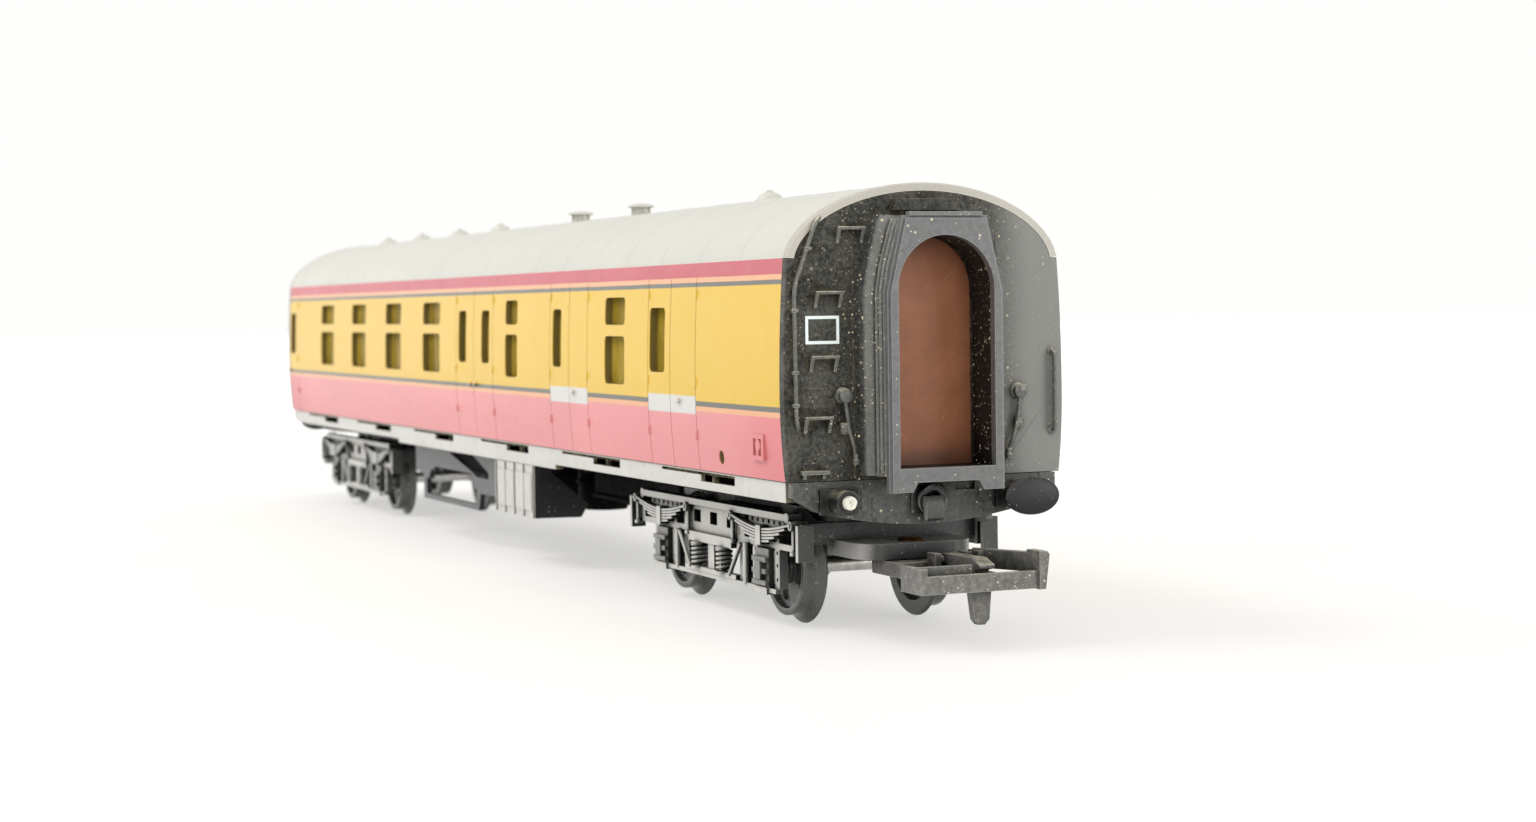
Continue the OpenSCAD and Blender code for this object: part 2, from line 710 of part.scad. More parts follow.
// Shoes on the inner side of every wheel, with their hangers
module brake_shoes(front) color("dimgray") bogie_place(front) both_sides() both_ends() {
    translate([axle_x, 0, axle_z]) mirror([1, 0, 0]) brake_shoe();
    block([axle_x - flange_r - 1.7, axle_x - flange_r - 1.35], [-9.4, -8.6], [axle_z, 11]);
}

// ---- Wheels ----

module wheel_profile() {
    back = back_to_back / 2;
    polygon([
        [axle_r, back + 0.3], [2, back + 0.3], [2.1, back + 0.9], [4.9, back + 0.9], [5.1, back],
        [flange_r - 0.25, back], [flange_r, back + 0.25], [flange_r, back + 0.45],
        [tread_r + 0.3, back + flange_w], [tread_r, back + flange_w + 0.3], [tread_r - 0.08, back + wheel_w],
        [5.1, back + wheel_w], [4.95, back + 2.1], [2.1, back + 2.1], [2, back + wheel_w],
        [axle_r, back + wheel_w]
    ]);
}

// A pair of wheels on the axle line through the origin
module wheel_pair() both_sides() rotate([-90, 0, 0]) difference() {
    rotate_extrude($fn = 96) wheel_profile();
    for (a = [0:90:270]) rotate(a + 20) translate([3.6, 0, 0]) cylinder(h = 12, r = 0.85);
}

module axle() rotate([-90, 0, 0]) {
    translate([0, 0, -11]) cylinder(h = 22, r = axle_r - 0.005);
    translate([0, 0, -12]) cylinder(h = 24, r = journal_r);
}

// Axles 1 and 2 are on the van-end bogie, 3 and 4 on the other
module axle_place(number) {
    bogie_place(number < 3) translate([number % 2 == 1 ? axle_x : -axle_x, 0, axle_z]) children();
}

// ---- Couplings ----

// The bar swings on the rivet; lugs on its floor carry the hook
module coupling_bar(front) color("dimgray") bogie_place(front) {
    slot = [43.6, 48.2];
    difference() {
        union() {
            translate([rivet_x, 0, 7.2]) cylinder(h = 1.7, r = 4.6);
            block([rivet_x, 37.8], [-4.6, 4.6], [7.2, 8.9]);
            block([37, 48.4], [-4.6, 4.6], [7.2, 8]);
            crossbar();
        }
        translate([rivet_x, 0, 7]) cylinder(h = 3, r = rivet_r + clearance);
        block(slot, [0, 3], [6, 12]);
    }
    difference() {
        block([hook_pivot[0] - 1, hook_pivot[0] + 1], [-0.9, -0.1], [7.9, 10]);
        hook_bore();
    }
    difference() {
        block([hook_pivot[0] - 1, hook_pivot[0] + 1], [3.1, 3.9], [7.9, 10]);
        hook_bore();
    }
}

module hook_bore() {
    bore_r = hook_pin_r + clearance;
    translate([hook_pivot[0], 5, hook_pivot[1]]) rotate([90, 0, 0]) cylinder(h = 8, r = bore_r);
}

// Crossbar, its two ends and the long arm on the far side
module crossbar() {
    block([48.2, 49], [-7.4, 7.6], [6.5, 8.5]);
    block([46.6, 47.2], [-7.4, -0.2], [7.6, 9.4]);
    block([44, 49], [-7.5, -6.7], [6.5, 9.4]);
    block([44, 48.6], [-7.5, 7.6], [7.2, 7.7]);
    along_x([46.4, 49.4]) polygon([[7.2, 6.4], [8, 6.4], [8.5, 10.3], [8.2, 10.7], [7.2, 10.7]]);
    translate([0, 0, 8.2]) linear_extrude(2.2) polygon([[38.6, 4.4], [39.6, 4], [47, 7.2], [47, 8.5]]);
    block([38.4, 41], [3.9, 4.6], [7.4, 10.2]);
}

module coupling_hook(front) color("gray") bogie_place(front) {
    along_y([0.55, 2.45]) polygon([
        [38.1, 8.3], [44.9, 8.2], [44.9, 6.6], [46, 6.6], [46.2, 8.6], [47.6, 8.9],
        [47.6, 9.3], [45.6, 10], [38.1, 9.9]
    ]);
    along_x([44.9, 46]) polygon([[0.2, 6.7], [2.9, 6.7], [2.6, 3], [2, 2.4], [1.2, 2.4], [0.7, 3]]);
    rod([hook_pivot[0], -0.9, hook_pivot[1]], [hook_pivot[0], 3.9, hook_pivot[1]], hook_pin_r);
}

// ---- Nodes ----

body_shell();
roof_panel();
roof_shell_vents();
roof_fan_vents();
glazing(-1);  // glazing_near
glazing(1);  // glazing_far
interior_moulding();
corridor_partition();
ballast_weight();
end_wall();  // end_wall_front
rotate([0, 0, 180]) end_wall();  // end_wall_rear
gangway_bellows();  // gangway_bellows_front
rotate([0, 0, 180]) gangway_bellows();  // gangway_bellows_rear
gangway_faceplate();  // gangway_faceplate_front
rotate([0, 0, 180]) gangway_faceplate();  // gangway_faceplate_rear
gangway_door();  // gangway_door_front
rotate([0, 0, 180]) gangway_door();  // gangway_door_rear
end_steps();
end_pipework();
end_handrails();
side_fittings();
underframe_floor();
solebars();
headstock();  // headstock_front
rotate([0, 0, 180]) headstock();  // headstock_rear
buffer_housings();
buffer_rams();
broken_buffer_shank();
draw_hooks();
truss_frames();
battery_boxes();
vacuum_cylinders();
centre_sills();
bogie_pivot_pins();
bogie_frame(true);  // bogie_frame_front
side_frames(true);  // side_frames_front
leaf_springs(true);  // leaf_springs_front
axleboxes(true);  // axleboxes_front
bolster_springs(true);  // bolster_springs_front
brake_shoes(true);  // brake_shoes_front
coupling_rivet(true);  // coupling_rivet_front
bogie_frame(false);  // bogie_frame_rear
side_frames(false);  // side_frames_rear
leaf_springs(false);  // leaf_springs_rear
axleboxes(false);  // axleboxes_rear
bolster_springs(false);  // bolster_springs_rear
brake_shoes(false);  // brake_shoes_rear
coupling_rivet(false);  // coupling_rivet_rear
color("silver") axle_place(1) axle();  // axle_1
color("dimgray") axle_place(1) wheel_pair();  // wheels_1
color("silver") axle_place(2) axle();  // axle_2
color("dimgray") axle_place(2) wheel_pair();  // wheels_2
color("silver") axle_place(3) axle();  // axle_3
color("dimgray") axle_place(3) wheel_pair();  // wheels_3
color("silver") axle_place(4) axle();  // axle_4
color("dimgray") axle_place(4) wheel_pair();  // wheels_4
coupling_bar(true);  // coupling_bar_front
coupling_hook(true);  // coupling_hook_front
coupling_bar(false);  // coupling_bar_rear
coupling_hook(false);  // coupling_hook_rear
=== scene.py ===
"""The looks of the model passenger coach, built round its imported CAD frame.

The frame is in metres with +X towards the van end. Shapes are worked out in millimetres and scaled on the way in.
"""
import json
import math
import random

import bmesh
import bpy
from mathutils import Matrix, Vector


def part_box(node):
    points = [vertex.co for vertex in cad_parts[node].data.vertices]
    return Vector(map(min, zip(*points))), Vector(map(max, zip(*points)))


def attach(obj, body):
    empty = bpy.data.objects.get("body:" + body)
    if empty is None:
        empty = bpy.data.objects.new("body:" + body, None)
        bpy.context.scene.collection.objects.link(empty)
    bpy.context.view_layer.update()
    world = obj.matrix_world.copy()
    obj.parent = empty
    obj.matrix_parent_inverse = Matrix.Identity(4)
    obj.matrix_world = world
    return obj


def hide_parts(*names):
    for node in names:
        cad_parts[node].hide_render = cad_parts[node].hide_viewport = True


MM = 0.001
HALF_TURN = Matrix.Rotation(math.pi, 4, "Z")
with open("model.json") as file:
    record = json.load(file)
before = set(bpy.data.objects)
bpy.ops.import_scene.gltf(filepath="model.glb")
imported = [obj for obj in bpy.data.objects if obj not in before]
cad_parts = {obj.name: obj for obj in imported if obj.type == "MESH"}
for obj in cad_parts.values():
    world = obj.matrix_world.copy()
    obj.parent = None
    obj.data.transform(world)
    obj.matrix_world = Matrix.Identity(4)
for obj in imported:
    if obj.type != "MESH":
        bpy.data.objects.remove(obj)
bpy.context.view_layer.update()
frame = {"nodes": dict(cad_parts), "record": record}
random.seed(64)

# ---------------------------------------------------------------- sizes, in millimetres

END_X = 129.0
BOGIE_X = 93.0
# Roof: its seams, and the curve of its cross section
ROOF_SEAM_PITCH = 13.1
ROOF_FIRST_SEAM = 115.2
ROOF_HALF, ROOF_BASE, ROOF_RISE, ROOF_POWER, ROOF_T = 17.5, 43.5, 9.1, 1.12, 0.95
EAVES_ANGLE = math.acos((0.5 / ROOF_RISE) ** (1 / ROOF_POWER))
# Sides: the widest line, and how sharply they curve in below and above it
WIDEST_HALF, WIDEST_Z = 18.0, 28.2
BEND_BELOW, BEND_ABOVE = 1 / 162, 1 / 416
# Livery: the height where each colour starts, going up
ORANGE_Z, DARK_Z, CREAM_Z, TOP_DARK_Z, TOP_ORANGE_Z, CANTRAIL_Z = 25.8, 26.42, 27.04, 41.02, 41.56, 42.15
WHITE_PATCHES = ((44.7, 61.1), (85.1, 101.8))
WHITE_PATCH_Z = (25.45, 27.65)
# Outline on the end wall: outer (y, z) ranges, and the width of its stroke
MARK_Y, MARK_Z, MARK_STROKE = (-15.2, -11.0), (34.2, 37.4), 0.35
# Gangway: face, walkway arch, and the ridges of the folds from the middle of the coach outwards
FACE_HALF, SHOULDER_Z, FACE_TOP = 7.35, 40.0, 48.6
WALKWAY_HALF, ARCH_Z, WALKWAY_Z = 6.1, 40.3, 20.0
BELLOWS_DEPTH = 4.4
FIRST_FOLD = 130.47
FOLD_PITCH = 0.978
# Buffers and draw hooks stand off the headstock's face
HEADSTOCK_X = 128.8
BUFFER_Y, BUFFER_Z = 11.3, 16.2
# Bogies: axles, springs
HALF_WHEELBASE = 17
SPRING_Y, LEAF_REACH, LEAF_T = -12.8, 9.3, 0.36
COIL_Y, COIL_Z, COIL_HEIGHT = -12.6, 5.3, 3.2

# ---------------------------------------------------------------- colours, as display values from 0 to 255

CRIMSON = (203, 128, 129)
CRIMSON_AT_ENDS = (190, 86, 98)
CANTRAIL = (176, 74, 84)
CREAM = (203, 166, 42)
LINING_ORANGE = (208, 154, 114)
LINING_DARK = (92, 93, 84)
WHITE_PATCH = (190, 190, 186)
BARE_TAN = (104, 90, 44)
DEEP_SHADE = (7, 7, 7)


def box_mm(node):
    low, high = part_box(node)
    return low / MM, high / MM


# ---------------------------------------------------------------- materials

class Graph:
    """A material's node tree, with short calls for the nodes used here. Lengths are in millimetres."""

    def __init__(self, name):
        self.mat = bpy.data.materials.new(name)
        self.mat.use_nodes = True
        self.tree = self.mat.node_tree
        self.bsdf = self.tree.nodes["Principled BSDF"]
        self.co = self.vector_math("SCALE", self.node("ShaderNodeTexCoord").outputs["Object"], scale=1 / MM)
        split = self.node("ShaderNodeSeparateXYZ")
        self.put(self.co, split.inputs[0])
        self.x, self.y, self.z = split.outputs

    def node(self, kind, **values):
        made = self.tree.nodes.new(kind)
        for key, value in values.items():
            setattr(made, key, value)
        return made

    def put(self, value, socket):
        if isinstance(value, bpy.types.NodeSocket):
            self.tree.links.new(value, socket)
        else:
            socket.default_value = value

    def math(self, operation, a, b=0.0, clamp=False):
        made = self.node("ShaderNodeMath", operation=operation, use_clamp=clamp)
        self.put(a, made.inputs[0])
        self.put(b, made.inputs[1])
        return made.outputs[0]

    def add(self, a, b, clamp=False):
        return self.math("ADD", a, b, clamp)

    def times(self, a, b):
        return self.math("MULTIPLY", a, b)

    def most(self, *values):
        made = values[0]
        for value in values[1:]:
            made = self.math("MAXIMUM", made, value)
        return made

    def vector_math(self, operation, a, b=None, scale=None):
        made = self.node("ShaderNodeVectorMath", operation=operation)
        self.put(a, made.inputs[0])
        if b is not None:
            self.put(b, made.inputs[1])
        if scale is not None:
            self.put(scale, made.inputs["Scale"])
        return made.outputs["Value" if operation in ("DOT_PRODUCT", "LENGTH") else "Vector"]

    def mix(self, share, a, b):
        made = self.node("ShaderNodeMix", data_type="RGBA")
        self.put(share, made.inputs["Factor"])
        self.put(a, made.inputs[6])
        self.put(b, made.inputs[7])
        return made.outputs[2]

    def noise(self, size, detail=3.0, rough=0.5, stretch=None):
        """Noise whose features are about size millimetres across, from 0 to 1."""
        made = self.node("ShaderNodeTexNoise")
        place = self.vector_math("MULTIPLY", self.co, stretch) if stretch else self.co
        self.put(place, made.inputs["Vector"])
        self.put(1 / size, made.inputs["Scale"])
        self.put(detail, made.inputs["Detail"])
        self.put(rough, made.inputs["Roughness"])
        return made.outputs["Fac"]

    def ramp(self, value, low, high):
        """0 at low and 1 at high, smooth between; low may be the larger."""
        made = self.node("ShaderNodeMapRange", interpolation_type="SMOOTHSTEP")
        self.put(value, made.inputs["Value"])
        self.put(low, made.inputs["From Min"])
        self.put(high, made.inputs["From Max"])
        return made.outputs["Result"]

    def band(self, value, low, high, soft=0.04):
        """1 while value is between low and high."""
        above = self.ramp(value, low - soft, low + soft)
        return self.times(above, self.ramp(value, high + soft, high - soft))

    def edges(self, radius=0.12):
        """1 along the outside edges of the shape."""
        bevel = self.node("ShaderNodeBevel", samples=4)
        self.put(radius * MM, bevel.inputs["Radius"])
        true = self.node("ShaderNodeNewGeometry").outputs["Normal"]
        return self.ramp(self.vector_math("DOT_PRODUCT", bevel.outputs["Normal"], true), 0.99, 0.8)

    def corners(self, distance=0.8, open_share=0.9, shut_share=0.35):
        """1 deep in corners and gaps, 0 on open faces."""
        made = self.node("ShaderNodeAmbientOcclusion", samples=4)
        self.put(distance * MM, made.inputs["Distance"])
        return self.ramp(made.outputs["AO"], open_share, shut_share)

    def upward(self):
        """1 on faces that look up: where dust lies, and where part of the painted side sheen goes."""
        made = self.node("ShaderNodeSeparateXYZ")
        self.put(self.node("ShaderNodeNewGeometry").outputs["Normal"], made.inputs[0])
        return self.ramp(made.outputs["Z"], 0.15, 0.9)

    def specks(self, spacing, size, share=0.5):
        """Small round spots: dust, pits and flecks."""
        made = self.node("ShaderNodeTexVoronoi")
        self.put(self.co, made.inputs["Vector"])
        self.put(1 / spacing, made.inputs["Scale"])
        spot = self.ramp(made.outputs["Distance"], size / spacing, size / spacing * 0.4)
        colour = self.node("ShaderNodeSeparateColor")
        self.put(made.outputs["Color"], colour.inputs[0])
        return self.times(spot, self.math("LESS_THAN", colour.outputs[0], share))

    def bump(self, height, depth, normal=None):
        made = self.node("ShaderNodeBump")
        self.put(depth * MM, made.inputs["Distance"])
        self.put(height, made.inputs["Height"])
        if normal is not None:
            self.put(normal, made.inputs["Normal"])
        self.put(made.outputs["Normal"], self.bsdf.inputs["Normal"])

    def outward(self):
        """1 on faces that look squarely to either side of the coach."""
        made = self.node("ShaderNodeSeparateXYZ")
        self.put(self.node("ShaderNodeNewGeometry").outputs["Normal"], made.inputs[0])
        return self.ramp(self.math("ABSOLUTE", made.outputs["Y"]), 0.45, 0.9)

    def finish(self, colour, rough, **values):
        self.put(colour, self.bsdf.inputs["Base Color"])
        self.put(rough, self.bsdf.inputs["Roughness"])
        for key, value in values.items():
            self.put(value, self.bsdf.inputs[key.replace("_", " ")])
        return self.mat


def rgb(red, green, blue, gain=1.0):
    """A colour from its display values, 0 to 255."""
    def linear(v):
        v = min(255, v * gain) / 255
        return v / 12.92 if v <= 0.04045 else ((v + 0.055) / 1.055) ** 2.4
    return (linear(red), linear(green), linear(blue), 1.0)


def plastic(name, colour, rough=0.4, dust=0.35, edge_wear_and_highlight=0.4, film=0.6, dust_colour=(176, 171, 156),
            gain=(0.86, 1.12), grain=0.02, painted_side_sheen=0.0, sheen_colour=(158, 157, 153), cavity_shade=0.0, gloss=0.5,
            dust_share=1.0):
    """Moulded plastic: mottled, with fine grain, rubbed edges that also carry a painted highlight, dust on top
    and dust specks.

    gain is the range of the mottling. The side sheen share lays a pale painted sheen, in the sheen colour,
    on faces that look sideways or up, with painted shade in the corners under it.
    The hollow-shade share darkens whatever lies deep among other pieces, as painted shade. dust_share is how many
    of the specks there are.
    """
    g = Graph(name)
    mottling = g.add(g.times(g.ramp(g.noise(0.7, 6, 0.75), 0.25, 0.75), 0.65), g.times(g.noise(5, 3), 0.35))
    mottled = g.mix(mottling, rgb(*colour, gain=gain[0]), rgb(*colour, gain=gain[1]))
    if painted_side_sheen:
        # Painted sheen: a pale film standing in for light on faces that look sideways or up
        facing = g.most(g.outward(), g.times(g.upward(), 0.7))
        sheen_mask = g.times(facing, g.add(g.times(g.noise(2.4, 6, 0.7), 0.5), 0.62))
        mottled = g.mix(g.times(sheen_mask, painted_side_sheen), mottled, rgb(*sheen_colour))
        # Painted shade in the corners under that sheen
        mottled = g.mix(g.times(g.corners(1.2), 0.85), mottled, rgb(*colour, gain=0.5))
    # Paler edges: rubbing, and a painted edge highlight
    pale_edged = g.mix(g.times(g.edges(), edge_wear_and_highlight), mottled, rgb(*[v * 1.25 + 60 for v in colour]))
    lying = g.times(g.upward(), g.ramp(g.noise(1.8, 6, 0.65), 0.3, 0.68))
    spots = g.most(g.specks(1.6, 0.22, 0.4 * dust_share), g.specks(0.8, 0.14, 0.45 * dust_share),
                   g.times(g.specks(0.42, 0.08, 0.4 * dust_share), 0.8))
    cluster = g.ramp(g.noise(6, 3), 0.36, 0.56)
    dirt = g.times(g.most(g.times(lying, film), g.times(spots, g.add(g.times(cluster, 0.75), 0.25))), dust)
    base = g.mix(dirt, pale_edged, rgb(*dust_colour))
    shine = gloss
    if cavity_shade:
        # Painted shade deep among other pieces
        deep = g.times(g.corners(5.0, 0.68, 0.32), cavity_shade)
        base = g.mix(deep, base, rgb(*DEEP_SHADE))
        shine = g.times(g.math("SUBTRACT", 1.0, deep), gloss)
    g.bump(g.add(g.add(g.noise(0.25, 3, 0.6), g.times(g.noise(2.5, 2), 1.5)), spots), grain)
    roughness = g.add(g.times(g.noise(1.6, 4, 0.6), 0.26), rough - 0.13)
    return g.finish(base, g.add(roughness, g.times(dirt, 0.4), clamp=True), Specular_IOR_Level=shine)


def livery(name, fittings=False):
    """Crimson and cream with linings, all set by height; grooves and inner faces show bare tan plastic.

    fittings is for the small parts that stand out from the sides, which are rubbed paler over the cream.
    """
    g = Graph(name)
    drift = g.times(g.add(g.noise(9, 3), -0.5), 0.12)
    height = g.add(g.z, g.add(drift, g.times(g.add(g.noise(0.5, 2), -0.5), 0.06)))
    crimson = g.mix(g.noise(14, 4, 0.6, (0.4, 1, 1)), rgb(*CRIMSON, gain=0.93), rgb(*CRIMSON, gain=1.06))
    cream = g.mix(g.noise(18, 4, 0.6), rgb(*CREAM, gain=0.97), rgb(*CREAM, gain=1.02))
    cant = g.mix(g.noise(14, 4, 0.6), rgb(*CANTRAIL, gain=0.93), rgb(*CANTRAIL, gain=1.05))
    crimson = g.mix(g.times(g.ramp(g.math("ABSOLUTE", g.x), 108, 128), 0.45), crimson, rgb(*CRIMSON_AT_ENDS))
    paint = crimson
    orange, dark = rgb(*LINING_ORANGE), rgb(*LINING_DARK)
    bands = ((ORANGE_Z, 0.12, orange), (DARK_Z, 0.1, dark), (CREAM_Z, 0.1, cream),
             (TOP_DARK_Z, 0.1, dark), (TOP_ORANGE_Z, 0.1, orange), (CANTRAIL_Z, 0.12, cant))
    for bottom, soft, colour in bands:
        paint = g.mix(g.ramp(height, bottom, bottom + soft), paint, colour)
    for low, high in WHITE_PATCHES:
        patch = g.times(g.band(g.x, low, high, 0.08), g.band(height, *WHITE_PATCH_Z, 0.12))
        paint = g.mix(g.times(patch, g.ramp(g.noise(0.8, 4), 0.05, 0.4)), paint, rgb(*WHITE_PATCH))
    # How far under the painted skin a point is, from the curve of the sides
    below = g.math("LESS_THAN", g.z, WIDEST_Z)
    bend = g.add(g.times(below, BEND_BELOW), g.times(g.math("SUBTRACT", 1.0, below), BEND_ABOVE))
    rise = g.add(g.z, -WIDEST_Z)
    skin = g.math("SUBTRACT", WIDEST_HALF, g.times(g.times(rise, rise), bend))
    depth = g.math("SUBTRACT", skin, g.math("ABSOLUTE", g.y))
    bare = g.ramp(depth, 0.08, 0.16)
    pale_edged = g.mix(g.times(g.edges(0.1), 0.35), paint, rgb(236, 214, 196))
    chips = g.times(g.specks(2.6, 0.12, 0.12), 0.7)
    pale_edged = g.mix(chips, pale_edged, rgb(120, 84, 60))
    base = g.mix(bare, pale_edged, rgb(*BARE_TAN))
    # Brown dust specks, and painted shade in the corners and grooves
    dust = g.times(g.most(g.times(g.corners(0.5), 0.35), g.times(g.specks(0.8, 0.05, 0.12), 0.6)), 0.6)
    base = g.mix(dust, base, rgb(150, 122, 96))
    # The sides curve smoothly from the widest line, so the skin is shaded with the curve's own normal
    true = g.node("ShaderNodeNewGeometry").outputs["Normal"]
    parts = g.node("ShaderNodeSeparateXYZ")
    g.put(true, parts.inputs[0])
    curve = g.node("ShaderNodeCombineXYZ")
    g.put(g.math("SIGN", g.y), curve.inputs[1])
    g.put(g.times(g.times(rise, bend), 2.0), curve.inputs[2])
    sideways = g.math("GREATER_THAN", g.math("ABSOLUTE", parts.outputs[1]), 0.97)
    on_skin = g.times(g.math("LESS_THAN", depth, 0.03), sideways)
    normal = g.node("ShaderNodeMix", data_type="VECTOR")
    g.put(on_skin, normal.inputs[0])
    g.put(true, normal.inputs[4])
    g.put(curve.outputs[0], normal.inputs[5])
    sag = g.noise(7, 3, 0.5, (0.6, 1, 1))
    relief = g.add(g.add(g.times(g.noise(0.4, 3, 0.6), 0.6), g.times(sag, 1.2)), chips)
    g.bump(relief, 0.012, normal.outputs[1])
    rough = g.add(g.times(g.noise(2.2, 5, 0.65), 0.2), 0.26)
    if fittings:
        base = g.mix(g.times(g.ramp(g.z, 27, 27.4), 0.5), base, rgb(226, 204, 140))
    return g.finish(base, rough, Specular_IOR_Level=0.3)


def roof_paint():
    """Light grey, scuffed along its length, with a faint line of dirt beside each seam and a browner rim."""
    g = Graph("roof_grey")
    base = g.mix(g.noise(16, 5, 0.6, (0.5, 1, 1)), rgb(174, 173, 165), rgb(188, 187, 178))
    phase = g.math("FRACT", g.times(g.add(g.x, ROOF_SEAM_PITCH * 40 - ROOF_FIRST_SEAM), 1 / ROOF_SEAM_PITCH))
    off_middle = g.math("SUBTRACT", g.math("FRACT", g.add(phase, 0.5)), 0.5)
    off_seam = g.times(g.math("ABSOLUTE", off_middle), ROOF_SEAM_PITCH)
    seam = g.times(g.ramp(off_seam, 0.45, 0.2), 0.09)
    base = g.mix(seam, base, rgb(104, 104, 98))
    end = g.ramp(g.math("ABSOLUTE", g.x), END_X - 1.4, END_X - 0.7)
    base = g.mix(g.times(end, 0.55), base, rgb(150, 142, 130))
    scuffs = g.times(g.ramp(g.noise(1.2, 6, 0.7, (0.3, 1, 1)), 0.6, 0.75), 0.25)
    base = g.mix(scuffs, base, rgb(206, 203, 192))
    pale_edged = g.mix(g.times(g.edges(0.15), 0.6), base, rgb(226, 222, 210))
    # Brown specks of dirt, and painted shade in the corners
    dirt = g.most(g.times(g.specks(1.5, 0.1, 0.14), 0.6), g.times(g.corners(0.9), 0.45))
    pale_edged = g.mix(dirt, pale_edged, rgb(120, 108, 92))
    g.bump(g.add(g.times(g.noise(0.35, 3, 0.6), 0.8), g.times(g.noise(5, 3), 2.5)), 0.02)
    return g.finish(pale_edged, g.add(g.times(g.noise(3, 5, 0.65), 0.25), 0.38))


def metal(name, colour, rough, tarnish, share=0.4):
    """Turned metal, brushed round its axis; share says how much of it the tarnish may cover."""
    g = Graph(name)
    base = g.mix(g.times(g.ramp(g.noise(1.1, 6, 0.7), 0.4, 0.7), share), rgb(*colour), rgb(*tarnish))
    base = g.mix(g.times(g.specks(0.5, 0.06, 0.3), 0.5), base, rgb(60, 52, 44))
    brushed = g.noise(0.5, 3, 0.6, (1, 6, 1))
    g.bump(brushed, 0.01)
    return g.finish(base, g.add(g.times(brushed, 0.25), rough - 0.1), Metallic=1.0)


def solebar_plastic():
    """Pale grey, a painted sheen over what is dark plastic, with grime and near black painted shade inside the
    step openings.
    """
    g = Graph("solebar_grey")
    # Pale grey standing in for glare: painted sheen
    base = g.mix(g.noise(5, 5, 0.65, (0.5, 1, 1)), rgb(174, 172, 167), rgb(192, 191, 186))
    inside = g.ramp(g.math("ABSOLUTE", g.y), 17.12, 17.02)
    base = g.mix(g.times(g.edges(0.15), 0.5), base, rgb(196, 194, 186))
    grime = g.times(g.ramp(g.noise(1.2, 6, 0.7), 0.5, 0.75), 0.3)
    base = g.mix(g.most(grime, g.times(g.specks(0.9, 0.08, 0.3), 0.5)), base, rgb(112, 108, 96))
    # Inside the step openings: grime, and painted shade near black
    grime_and_shade_inside = g.mix(g.ramp(g.noise(0.8, 5, 0.7), 0.35, 0.65), rgb(26, 25, 19), rgb(128, 124, 102))
    base = g.mix(inside, base, grime_and_shade_inside)
    g.bump(g.add(g.noise(0.3, 3, 0.6), g.times(g.noise(2.5, 2), 1.5)), 0.02)
    shine = g.times(g.math("SUBTRACT", 1.0, inside), 0.4)
    return g.finish(base, g.add(g.times(g.noise(2, 4, 0.6), 0.25), 0.28), Specular_IOR_Level=shine)


def window_plastic():
    """Clear strip, olive with age, hazy and smudged, through which the interior just shows."""
    g = Graph("clear_glazing")
    base = g.mix(g.ramp(g.noise(6, 5, 0.6, (1, 1, 0.5)), 0.3, 0.7), rgb(112, 92, 26), rgb(150, 128, 46))
    smudge = g.times(g.ramp(g.noise(2.2, 5, 0.65), 0.45, 0.7), 0.12)
    base = g.mix(smudge, base, rgb(172, 156, 120))
    base = g.mix(g.times(g.specks(0.8, 0.06, 0.25), 0.6), base, rgb(190, 180, 150))
    g.bump(g.noise(4, 2), 0.03)
    return g.finish(base, g.add(g.times(smudge, 0.6), 0.08), Alpha=0.99, IOR=1.04)


def door_paint():
    """Brown sheet with pale dust specks, darkened towards its foot and edges by painted shade."""
    g = Graph("door_brown")
    base = g.mix(g.ramp(g.noise(5, 6, 0.65), 0.3, 0.7), rgb(119, 72, 46), rgb(133, 84, 56))
    # Painted shade towards the foot and in the corners
    foot = g.most(g.times(g.ramp(g.z, 23.5, 19.8), 0.75), g.times(g.corners(4.0, 0.6, 0.25), 0.8))
    base = g.mix(foot, base, rgb(52, 26, 14))
    spots = g.most(g.times(g.specks(1.5, 0.16, 0.2), 0.8), g.times(g.specks(0.7, 0.08, 0.25), 0.6))
    base = g.mix(spots, base, rgb(206, 176, 148))
    g.bump(g.add(g.noise(0.3, 3, 0.6), g.times(g.noise(4, 3), 2.0)), 0.02)
    return g.finish(base, g.add(g.times(g.noise(2.5, 4, 0.6), 0.2), 0.34), Specular_IOR_Level=0.3)


